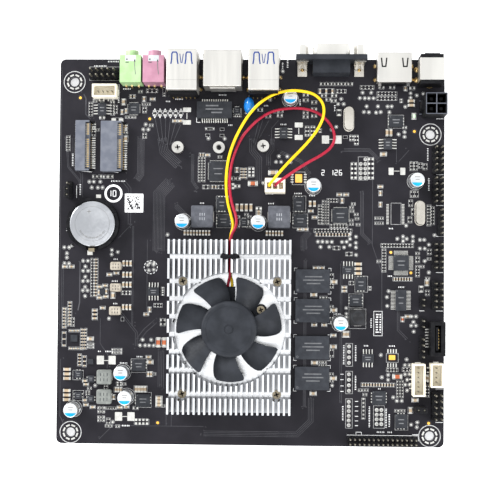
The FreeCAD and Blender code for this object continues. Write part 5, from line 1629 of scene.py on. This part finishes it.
@dataclass
class Studio:
    """A plain pale floor, soft light and the camera above the board."""

    eye: tuple[float, float, float] = (0.0150, -0.0135, 0.5010)
    tilt: tuple[float, float, float] = (1.63, 1.73, 0.40)
    lens: float = 81.7

    def build(self) -> None:
        """Set the camera, floor, world and lights."""
        camera = bpy.data.objects.new("camera", bpy.data.cameras.new("camera"))
        camera.data.lens = self.lens
        camera.data.sensor_width = 36.0
        camera.location = self.eye
        axis = Vector(self.tilt)
        camera.rotation_mode = "QUATERNION"
        camera.rotation_quaternion = Matrix.Rotation(math.radians(axis.length), 4, axis).to_quaternion()
        bpy.context.scene.collection.objects.link(camera)
        bpy.context.scene.camera = camera
        bpy.context.scene.view_settings.view_transform = "Standard"
        self.floor()
        world = bpy.data.worlds.new("studio")
        world.use_nodes = True
        world.node_tree.nodes["Background"].inputs["Color"].default_value = (0.96, 0.98, 1.0, 1.0)
        world.node_tree.nodes["Background"].inputs["Strength"].default_value = 1.5
        bpy.context.scene.world = world
        self.lamp("key_light", (-1.05, 0.75, 0.62), 0.5, 30.0)
        self.lamp("fill_light", (1.0, -0.5, 0.6), 0.6, 12.0)
        self.lamp("front_light", (-0.2, -1.1, 0.6), 0.6, 8.0)

    def floor(self) -> None:
        """A wide floor under the board."""
        mesh = bpy.data.meshes.new("studio_floor")
        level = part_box("solder_joints")[0].z - 0.0001
        mesh.from_pydata([Vector((x, y, level)) for x, y in oblong(6.0, 6.0)], [], [(0, 1, 2, 3)])
        paper = Finish("pale_paper", (0.86, 0.86, 0.86), (0.88, 0.88, 0.88), 0.8, 0.1, scale=60.0, bump=0.05)
        lit = paper.material()
        shader = lit.node_tree.nodes["Principled BSDF"]
        shader.inputs["Emission Color"].default_value = (1.0, 1.0, 1.0, 1.0)
        shader.inputs["Emission Strength"].default_value = 0.5
        mesh.materials.append(lit)
        floor = bpy.data.objects.new("studio_floor", mesh)
        bpy.context.scene.collection.objects.link(floor)

    @staticmethod
    def lamp(name: str, place: tuple[float, float, float], size: float, power: float) -> None:
        """One soft square light that faces the board.

        Args:
            name: its name.
            place: where it hangs, in metres.
            size: its side.
            power: its strength in watts.
        """
        light = bpy.data.lights.new(name, "AREA")
        light.size = size
        light.energy = power
        lamp = bpy.data.objects.new(name, light)
        lamp.location = place
        lamp.rotation_mode = "QUATERNION"
        lamp.rotation_quaternion = (-Vector(place)).to_track_quat("-Z", "Y")
        bpy.context.scene.collection.objects.link(lamp)


# ---------------------------------------------------------------- places on the board, in millimetres

@dataclass(frozen=True)
class Bundle:
    """A bundle of side-by-side tracks along one route."""

    route: tuple[Point, ...]
    lanes: int = 5
    gap: float = 0.55
    wide: float = 0.2


class Kind(Enum):
    """What stands on a pair of pads."""

    CERAMIC = "ceramic"
    RESISTOR = "resistor"
    LAMP = "lamp"
    AMBER = "amber"
    PAD = "pad"


BODIES = {Kind.CERAMIC: CERAMIC, Kind.RESISTOR: RESISTOR, Kind.LAMP: GREEN_LAMP, Kind.AMBER: AMBER}
# how far out and how high a gull-wing lead bends
GULL_BENDS = [(-0.1, 2.3), (0.25, 2.28), (0.5, 1.78), (1.25, 1.7)]


FIXINGS = [(-78.65, 74.84), (78.83, 51.98), (-78.65, -80.1), (78.83, -80.1)]
TARGETS = [(-76, 67.8), (-45, 58.5), (71.8, 53.3), (61.7, 0.0), (70.5, -8.9), (-40.2, -75.6), (78.4, -74.5)]
BARE_PADS = [(-65.8, -48.3, 3.2, 3.8), (-60.6, -48.3, 3.2, 3.8), (-57.5, -73.0, 3.2, 3.8),
             (-52.0, -73.0, 3.2, 3.8),
             (32.8, 49.6, 3.2, 3.6), (38.3, 49.6, 3.2, 3.6), (61.7, 35.7, 2.2, 3.2), (66.8, 35.7, 2.2, 3.2),
             (21.0, 56.0, 3.6, 2.2), (21.0, 50.5, 3.6, 2.2), (-28.5, 62.6, 3.6, 2.0), (-28.5, 57.0, 3.6, 2.0)]
EMPTY_HOLES = [(49.35, 35.8, 2, 4, 2.05), (50.4, 40.9, 1, 1, 2.05), (43.6, -44.9, 1, 4, 2.4),
               (43.6, -57.1, 1, 4, 2.4), (43.6, -70.6, 1, 6, 2.05), (56.8, -72.0, 2, 4, 2.05)]
SMALL_CHIPS = [(-65.2, -18.3, 2.4, 2.4, 0.8), (-77.5, -38.8, 3.0, 3.0, 0.8), (-70.0, -49.0, 2.4, 2.4, 0.9),
               (-73.2, 56.8, 1.8, 1.8, 0.6), (-73.2, 53.2, 1.8, 1.8, 0.6), (-60.5, 56.5, 1.8, 1.8, 0.6)]
LEFT_PADS = [(x, 12.6 + number * 0.65) for x in (60.2, 67.0) for number in range(14)]
BUNDLES = [
    Bundle(((-39.5, 50), (-38.5, 44), (-32, 38)), 6, 0.75), Bundle(((-42.8, 59.5), (-40.2, 47)), 1),
    Bundle(((-40.4, 59.5), (-39, 48)), 1), Bundle(((-38, 59.5), (-38, 47)), 1),
    Bundle(((-35.8, 59), (-37, 47)), 1), Bundle(((-33.5, 57), (-36, 47)), 1),
    Bundle(((-31.2, 56), (-35, 47)), 1), Bundle(((-48.8, 50), (-48.8, 34), (-50.5, 31.5)), 6),
    Bundle(((-35.5, 30.5), (-40.5, 25), (-40.5, 0)), 9, 0.62),
    Bundle(((-56.5, 31), (-53.6, 27.5), (-53.6, 11.5)), 2, 1.1), Bundle(((-52.3, 12), (-58.5, 5.5)), 1),
    Bundle(((-25.8, 43), (-25.8, 31), (-23.5, 27.5)), 3, 0.5),
    Bundle(((0.5, 50), (0.5, 44.5), (3.5, 41), (3.5, 30)), 4, 0.8),
    Bundle(((9.3, 50), (9.3, 45), (7.8, 43), (7.8, 38)), 3, 0.8), Bundle(((3.5, 58), (0.8, 47)), 1),
    Bundle(((5, 58), (1.8, 47)), 1), Bundle(((7.8, 58), (3.5, 50)), 1),
    Bundle(((12, 58), (9, 54.5), (9, 47)), 1),
    Bundle(((53.6, 33), (53.6, 3), (57.8, -9), (57.9, -35)), 1), Bundle(((-51.9, 11), (-51.9, -33)), 2, 0.5),
    Bundle(((-45.5, 5), (-45.5, -28)), 1), Bundle(((-41.5, -31), (-46, -35), (-49.5, -39.5)), 2, 1.6),
    Bundle(((-39, -44), (-39, -60)), 4, 0.8), Bundle(((-66, -30), (-66, -41), (-62.5, -46), (-62.8, -52)), 1),
    Bundle(((-74.5, 69.5), (-73.5, 67.5), (-73.5, 60.5), (-71.3, 58.3)), 1, wide=0.5),
    Bundle(((-75.3, -5), (-75.3, -23), (-76, -26.5)), 1, wide=0.5),
    Bundle(((-83.5, -48), (-83.5, -73), (-82, -76)), 1), Bundle(((-84.3, 80), (-84.3, -40)), 1),
    Bundle(((-82, 50), (-81, 37), (-76, 31), (-75.5, 28)), 2), Bundle(((-36.5, -71), (-36.5, -77)), 1),
    Bundle(((-34.2, -71), (-34.2, -77)), 1), Bundle(((64, 50), (64, 40)), 1),
    Bundle(((69.5, 45), (65, 40)), 1), Bundle(((24.2, -4), (24.2, -68)), 3, 0.5),
    Bundle(((40, -5), (40, -66)), 2, 0.7), Bundle(((27, -64), (27, -74), (21, -80), (-20, -80)), 4, 0.7),
    Bundle(((26, 9), (23.5, 6), (23.5, 1)), 5, 0.6), Bundle(((49, 27), (49, 8), (53, 4)), 3, 0.6),
    Bundle(((-58, -26), (-50, -36), (-50, -42)), 2, 0.8), Bundle(((-83, -6), (-83, -34)), 2, 0.7),
    Bundle(((-75, 24), (-75, 34), (-79, 38), (-79, 50)), 2, 0.8),
    Bundle(((13, 44), (22, 40), (26, 34)), 3, 0.6),
    Bundle(((41, 45), (52, 45), (56, 41)), 3, 0.6), Bundle(((65, -20), (65, -34), (69, -38)), 2, 0.7),
    Bundle(((-20, -77), (-60, -77), (-66, -83)), 1), Bundle(((-33, 20), (-27, 14), (-27, 9)), 4, 0.6)]
INK_LINES = [((81.4, y), (84.6, y)) for y in (58.9, 34.3, 20.7, 7.2, -8.7, -25.5, -59.5, -74.1)]
INK_LINES += [((42.8, -80), (74, -80)), ((71.3, -79.5), (74, -79.5)), ((74, -79.5), (74, -82.3)),
              ((46.8, -80.3), (46.8, -78.7)), ((46.8, -78.7), (49.2, -78.7)), ((49.2, -78.7), (49.2, -80.3)),
              ((-24.2, 59.2), (-24.2, 57)), ((-24.2, 57), (-22.5, 57)), ((74.2, -25.5), (76.5, -25.5)),
              ((-77.2, 23.3), (-77.2, 28.7)), ((-77.5, 35.4), (-70.5, 34.8)), ((-66.5, 35.4), (-58.6, 34.6)),
              ((55, -60.8), (58.8, -60.8)), ((-36.5, 68.7), (-23.5, 68.7)), ((-1.2, 68.8), (11.8, 68.8)),
              ((55, 74.6), (70, 74.6))]
INK_LINES += [((39.9, y), (41.3, y)) for y in (-53.5, -55.9, -58.6, -61)]
INK_LINES += [((46.3, y), (47.7, y)) for y in (-65.3, -67.5, -69.5, -71.8, -73.8, -75.9)]
DOTS = [
    (-45.3, -6.3), (-42.7, -6.1), (-44.8, -8.6), (-42.6, -8.3),
    (-46.8, 56), (-47.8, 53.8), (-45.6, 53.8), (8.3, 67.2), (-18.9, 49.9), (-11.7, 49.8), (13.8, 79.8),
    (39.6, 67.6), (38.3, 65.3), (40.7, 65.3), (37.5, 55.2), (35.5, 54), (49, 70.4), (52.8, 70.4),
    (47.8, 68), (50, 67.9), (51.8, 67.9), (53.8, 67.9), (50.8, 64.3), (55.8, 64.3), (60, 64.3),
    (61.8, 64.3), (49.6, 61.8), (51.8, 61.7), (55, 61.6), (57, 61.8), (60.8, 61.7), (70.1, 70.2),
    (72.8, 69.2), (70.1, 68.2), (75.6, 70), (67.8, 64.2), (64.9, 52), (67.5, 53), (67.5, 50.9),
    (-71.6, 30.5), (-69.6, 30.5), (-66.7, 30.5), (-70.5, 27.9), (-67.8, 27.9), (-65.7, 27.9), (-36.6, 7.2),
    (5.5, 30.3), (12.3, 42.1), (16, 42), (11.1, 39.6), (13.3, 39.6), (17.4, 39.6), (64.5, 6), (67, 7),
    (67, 5), (68.6, 6), (71.3, 7), (71.3, 5), (74.4, 5.6), (76.3, 5.6), (80.8, 7.7), (68.3, 11.8),
    (-82.4, 1.3), (-80.2, 1.3), (-81.2, -1.3), (-81.2, -3.2), (-82.2, -5.7), (-80.2, -5.8), (-73.9, -4.6),
    (-71.8, -4.6), (-72.9, -7.1), (-73.9, -9), (-71.7, -9), (-72.9, -11.6), (-73.9, -13.5), (-71.8, -13.5),
    (-72.9, -16.1), (-73.9, -17.7), (-71.8, -17.7), (-72.9, -20.2), (-61.2, 0.3), (-61.3, -1.7),
    (-58.6, -0.6), (-44.4, -5.4), (-42.5, -5.4), (-62.2, -30), (29.7, 4.5), (31.7, 4.5), (33.7, 4.5),
    (35.8, 4.5), (40.3, 4.5), (42.3, 4.5), (30.9, 2.2), (34.7, 2.2), (41.2, 2.1), (43.8, 7.9), (43.8, 5.8),
    (43.8, 3.1), (46.4, 6.8), (46.4, 4.1), (46.4, 2.1), (46.5, -1.2), (42.3, -24.6), (42.4, -27),
    (42.4, -28.5), (76.5, 1.8), (76.5, -3.7), (78.3, 3.5), (74.4, 1.8), (78.3, -8.7), (60.8, -17),
    (60.1, -19.6), (60.2, -23.5), (70.8, -28), (72.8, -28), (71.7, -30.4), (70.7, -32), (72.8, -32),
    (71.8, -34.6), (-47.2, -39.2), (-43.4, -39.2), (-48.3, -41.7), (-46.1, -41.7), (-44.3, -41.7),
    (-42.3, -41.7), (-60, -75.5), (-68, -59.5), (36.3, -58.5), (57.5, -45), (68.8, -46.8), (68, -49.3),
    (70, -49.3), (68.1, -53.3), (70, -53.2), (69, -55.6), (68.2, -57.8), (70.1, -57.8), (69, -60.3),
    (60.7, -53.6), (60.7, -55.8), (58, -54.7), (63, -63.4), (64.6, -64.9), (66.7, -64.9), (73.5, -74.2),
    (70.8, -75.2), (73.3, -76.3)]
# parts in rows: x, y, count, step across, step along
PARTS = {
    (Kind.RESISTOR, TINY, False): [
        (-71.3, 60.2, 5, 0, 1.27), (-61.6, 60.6, 5, 0, 1.27), (-60.3, 61.4, 3, 0, 1.27), (-69.4, 66.3),
        (-66.3, 66.5), (-61.8, 66.3), (-49.3, 70.6), (-47.6, 65, 2, 2), (-47.3, 63.2, 2, 0, -1.5),
        (-69.9, 56, 4, 0, -1.6), (-68.3, 53.5), (-55.6, 52.3), (-44.3, 55.6), (-47.2, 51.6, 2, 0, -1.2),
        (-81.2, 50.2, 6, 0, -1.1), (-55, 59.2, 3, 1.5), (-22.4, 41.2, 9, 0, -1.25),
        (-21.1, 41.2, 9, 0, -1.25), (-13.7, 41.7), (-5.5, 15.2), (-1.8, 16.3), (-0.4, 15.3), (-0.3, 13),
        (-0.8, 11), (-5.6, 11), (70.8, 39.4, 3, 0, -1.4), (72.4, 39.4, 3, 0, -1.4),
        (74.5, 38.9, 2, 0, -1.3), (76.6, 38.6, 2, 0, -1.6), (71, 26.6, 2, 0, -1.8),
        (72.8, 26.6, 2, 0, -1.8), (78.3, 20.4, 7, 0, -1.35), (79.8, 19.6, 6, 0, -1.35),
        (70.3, 22.6, 2, 0, -1.8), (71.5, 18.8, 2, 0, -1.8), (70, 15.2, 2, 0, -1.6), (55.5, 15, 2, 2),
        (55.5, 12.8, 2, 2), (33.6, 22.2, 9, 0, -1.2), (32.4, 22.2, 9, 0, -1.2), (30.6, 20.2, 7, 0, -1.25),
        (44.4, 19.6), (45.2, 21.2), (44.6, 18), (46.5, 16.6), (44.3, 14), (46.8, 14.7), (44.4, 12.3),
        (47.3, 12.1), (-69.6, -4, 13, 0, -1.32), (-80.8, -26.2, 6, 0, -1.35), (-78.4, -30.3, 3, 0, -1.35),
        (58.7, 1, 8, 0, -1.3), (56.5, -4), (73.4, -0.4), (73.4, -2.4, 2, 0, -1.5), (73.4, -6.2, 4, 0, -1.3),
        (75.4, -6.1), (78.5, 1, 2, 0, -1.4), (78.4, -2.8), (77.8, -11.3), (77.7, -17, 2, 0, -1.3),
        (65.3, -56.5, 6, 0, -1.3), (66.5, -56.5, 6, 0, -1.3), (31.3, -48.3, 2, 1.6), (31.2, -49.6, 2, 1.8),
        (31.5, -20, 2, 1.5), (35.8, -10, 2, 0, -1.8), (35.8, -14.2, 2, 0, -1.2), (35.8, -24, 3, 0, -2.4),
        (36, -43, 2, 0, -2.5), (36, -53.5, 2, 0, -3), (-63.2, -59.8, 2, 0, -1.2), (-70.5, -60.8),
        (-71.2, -62.4, 2, 0, -1), (-62.5, -69.4, 4, 1.1), (-62, -74.3, 2, 0, -1.5), (-62.5, -77.2, 2, 1.4),
        (-57.8, -77.3), (-37.8, -68.2), (-55.2, -58.7), (-42, -54.2), (64.5, -69.2, 3, 1.4),
        (77.8, -58.4, 4, 0, -1.4), (48.6, -60.4, 3, 1.3), (50.6, -62.3)],
    (Kind.RESISTOR, TINY, True): [
        (-46, 71, 3, 1.9), (48.6, 72.7, 4, 1.6), (56, 70, 6, 1.5), (55.7, 67.8, 6, 1.55), (58, 3, 11, 1.3),
        (60.6, -51.4, 4, 1.3), (67.5, -51.2, 3, 1.5), (-41.8, -24, 3, 1.25), (34.2, 22.7, 4, 1.2),
        (28.6, 9.4, 12, 1.4), (35.6, 11.4, 6, 1.3), (-20.7, 28.4, 2, 1.7), (-14.2, 28.4, 3, 1.8),
        (38, 71, 3, 1.6), (-38.7, 73, 2, 0, -3.6), (37, 1.8, 2, 1.8), (44, -13.6, 2, 1.4),
        (42.5, -0.8, 2, 1.8), (-7.1, 60.3, 3, 1), (-70, 47.2, 5, 0, -2.2)],
    (Kind.CERAMIC, TINY, False): [
        (-68.2, -4, 13, 0, -1.32), (-79.6, -23.2, 8, 0, -1.35), (-82, -25.8, 7, 0, -1.35),
        (-3.9, 36.4, 4, 0, -1.25), (-2.6, 36.4, 4, 0, -1.25), (-75, -46.2, 4, 0, -1.4),
        (-72.8, -47, 3, 0, -1.9), (-73.9, -35, 7, 0, -1.35), (-72.8, -35, 7, 0, -1.35),
        (-79, -35.5, 3, 1.5), (-79, -43.3, 4, 1.6), (-82, -36.5, 3, 0, -2.7)],
    (Kind.CERAMIC, TINY, True): [
        (-53.5, 68.4, 2, 1.4), (-16.9, 28.4, 2, 1.4), (-22.3, 42.6, 2, 1.1), (29.2, 7.7, 11, 1.4),
        (63.3, -11.7, 7, 1.2), (49.6, -58, 12, 1.22)],
    (Kind.CERAMIC, SMALL, True): [
        (-47.6, 67.3), (-57.3, 61.5), (-55.6, 62), (-55.6, 55), (30.3, 71, 3, 2.7), (67.8, 72.3), (57, 26),
        (57, 21), (40.2, 22.6), (-6.2, 36), (-44.2, -25.9), (-66.8, -18.5), (-63.5, -18),
        (-44.5, -54.3, 2, 1.2), (-58.8, -61.2, 3, 1.1), (-59.7, -64.5)],
    (Kind.CERAMIC, SMALL, False): [
        (-43.8, 67.3), (-33.8, 57.6), (-31.3, 57.6), (57, 28.9), (39, 25.3), (42, 25.3), (21.7, 9.9),
        (24.3, 9.9), (28.2, 15.2), (26.5, 18), (-19.3, 42.5), (-82, -7.2), (-79, -7.2), (-62.2, -10.6),
        (-59.1, -9.9), (-45.7, -28), (-66.5, -16), (-64, -15.5), (-66.5, -20.8), (-63.7, -20.3),
        (-68.5, -26.5, 3, 0, -1.7), (-65, -25.3), (-44.5, -46.8), (-57, -69), (-54, -68.7), (-72.5, -57.5),
        (-72, -59), (-72.4, -66), (-72, -68), (-69, -69), (28.8, -7), (31.5, -7), (36.8, -36.5),
        (28.3, -32), (32.7, -32), (41.4, -15.5, 2, 0, -1.5), (69.1, -28)],
    (Kind.CERAMIC, MEDIUM, True): [
        (-56.7, 66), (-55.6, 49.6), (-60.5, -19.8), (-49.8, -60.9, 4, 1.3), (41.5, -36, 2, 1.4),
        (77.5, -13.2), (70.5, -69), (77.8, -54.8)],
    (Kind.CERAMIC, MEDIUM, False): [
        (58.3, 43.2), (-70.3, -39), (-43.8, -49), (-39.7, -64.7, 3, 0, -1.5), (36.8, -13.1), (36.8, -25.5),
        (36.7, -41.5), (36.8, -55.3), (28, -18.8), (28.5, -48.6), (28, -62), (72.5, -64.5)],
    (Kind.CERAMIC, LARGE, False): [
        (9.8, 34.8)],
    (Kind.RESISTOR, SMALL, False): [
        (31.5, 74.2, 5, 3), (32, 69), (36.5, 69), (34, 67.3), (36.3, 66.7), (57.3, 72.8), (62, 72.8),
        (70.8, 72.4), (-69, 32.8), (-67.2, 32.8), (-64.3, 32.7), (-62.2, 32.8), (-7.6, 32.2), (-5.8, 32.2),
        (24, 69.3), (24, 67), (24, 61.5), (24, 59.6), (27.7, 66), (27.7, 63), (27.7, 60),
        (-38.3, -30.5, 2, 0, -1.8), (-50, -69.2), (3.9, 62.7), (7.5, 59.8), (11, 62), (13, 62.3),
        (12.6, 60.2)],
    (Kind.RESISTOR, MEDIUM, True): [
        (38.7, 61.5), (75, -16)],
    (Kind.RESISTOR, SMALL, True): [
        (50, -65, 5, 0, -1.7), (-42.8, 61, 6, 2.32)],
    (Kind.PAD, SMALL, False): [
        (45.3, 38.8, 4, 0, -2), (52.8, 41, 5, 0, -2.05), (-66.2, 59), (0.2, 36.5, 3, 0, -1.45), (-6, 28.8),
        (3.6, 19, 3, 0, -1.3)],
    (Kind.PAD, SMALL, True): [
        (-7.9, 28.8), (-49.7, -75.2, 4, 1.6)],
    (Kind.PAD, LARGE, False): [
        (-59.4, 57.8)],
    (Kind.PAD, TINY, False): [
        (-19.4, 54.2, 3, 1.1), (-19.2, 51.3, 3, 0), (-12.9, 54, 3, 0), (-12.9, 51.2, 3, 0),
        (24.7, 55, 3, 0, -1.7), (27.2, 55, 3, 0, -1.7), (44.3, 51, 2, 0, -1.4), (46.4, 51, 3, 0, -1.6),
        (41.5, 50.7, 2, 0), (67.5, 55), (-65.8, -69.3), (-65.8, -71), (-65.8, -73.4), (-65.8, -74.8),
        (-64.5, -69.3), (-64.5, -71), (-64.5, -73.4), (-64.5, -74.8), (-70.9, -41.4, 2, 1.3),
        (-70.9, -42.7, 2, 1.3), (-59.9, -43.7, 3, 1.35), (-59.9, -45.05, 3, 1.35)],
    (Kind.PAD, TINY, True): [
        (30.4, 53.5), (66, 66.8), (-56.2, -18.6, 3, 1.55), (-56.2, -30.2, 3, 0), (-58, -58.7, 2, 1.4),
        (-38.5, -16.8, 2, 0, -2), (52.6, -15.8)],
    (Kind.AMBER, LARGE, False): [
        (0.9, 30), (64.7, -54.3)],
    (Kind.AMBER, LARGE, True): [
        (-40.2, -40.3), (-37.6, -40.3)],
    (Kind.AMBER, SMALL, True): [
        (66.9, -29.3)],
    (Kind.LAMP, MEDIUM, True): [
        (71.6, 60)]}
INK_BOXES = [
    (49.35, 36.9, 4.2, 10.2), (43.7, -45, 2.9, 10), (43.7, -57.1, 2.9, 9.8), (43.7, -70.6, 2.9, 12.8),
    (56.8, -72, 4.8, 9.8), (56.2, -31.2, 3.5, 10.5), (-75.6, -55, 4.6, 4.2), (-75.4, -64, 4.8, 4.4),
    (48.8, -14, 5.6, 7), (46.5, -21.3, 6.2, 6), (-48.7, -50.6, 7, 6), (-46.6, -65.6, 7, 6.6),
    (66.6, -74.3, 5.6, 6.6), (-12.5, 20.9, 5.4, 7), (-11.9, 13.4, 6.3, 6), (21.5, 21.1, 5.6, 7),
    (21.9, 13.6, 6.6, 6.2), (21.1, 32.4, 5.6, 5.6), (62.5, -46.2, 5.2, 3.8), (63.7, 57.6, 6.8, 5.8),
    (47.2, -29.2, 7.4, 8.6), (-65.2, 78.6, 13.6, 6), (-64.5, 70.4, 11.6, 6.6), (63.9, 17, 4.4, 9.4)]
INK_TICKS = [
    (-67.3, 82, 8, False), (-61.5, 84, 7, False), (-55.3, 71.8, 5, False), (-58.9, 68, 7, True),
    (-55.6, 39, 13, True), (-79.1, 40.2, 8, True), (-58.8, 30.8, 9, False), (-75.6, 27, 7, True),
    (-81.2, 11.3, 8, True), (-12.8, 69.2, 5, False), (-13.3, 71.8, 6, False), (6.5, 64.5, 3, False),
    (14.2, 56.2, 4, False), (21.5, 66, 4, True), (-9.3, 55.8, 3, False), (20.8, 25.7, 5, False),
    (27, 24.8, 4, False), (9, 21.2, 4, False), (8.2, 25.5, 5, False), (-21.5, 21.2, 3, False),
    (77.7, 43.2, 8, True), (78.2, 30, 8, True), (61.7, 10.5, 3, False), (-59.5, -3.8, 3, False),
    (-59.8, -13.5, 4, False), (-59.5, -23.4, 3, False), (38.5, -27.2, 4, False), (53.2, -31, 6, True),
    (61.3, -10.4, 3, False), (66.3, -15.2, 4, False), (-66.3, -44.5, 2, False), (-62, -44.5, 5, False),
    (-55.5, -49.5, 5, False), (-48.5, -46.7, 4, False), (-54.3, -77, 5, False), (41.3, -45, 12, True),
    (46.5, -44.3, 10, True), (46.5, -57.2, 9, True), (41, -70.5, 9, True), (51, -41, 3, False),
    (62.3, -41, 4, False), (56.9, -59.7, 2, False), (52.6, -72, 13, True), (59.9, -72.5, 12, True),
    (61.3, -73.5, 8, True), (57.5, -78.6, 5, False), (61.5, -78.6, 3, False), (13.7, 82.3, 4, True),
    (15.9, 83, 5, True), (36.8, 63.5, 4, True), (-37, 66.3, 3, False), (-32, 67.3, 5, False)]


def main() -> None:
    """Build the studio and every sub-assembly."""
    logging.basicConfig(level=logging.INFO, format="%(name)s: %(message)s")
    for assembly in (Studio(), Board(), Cooler(), Fan(), Wires(), RearPorts(), Sockets(), CoinCell(),
                     Headers(),
                     BoardParts(), SmallParts()):
        LOG.info("building %s", type(assembly).__name__)
        assembly.build()


if __name__ == "__main__":
    main()
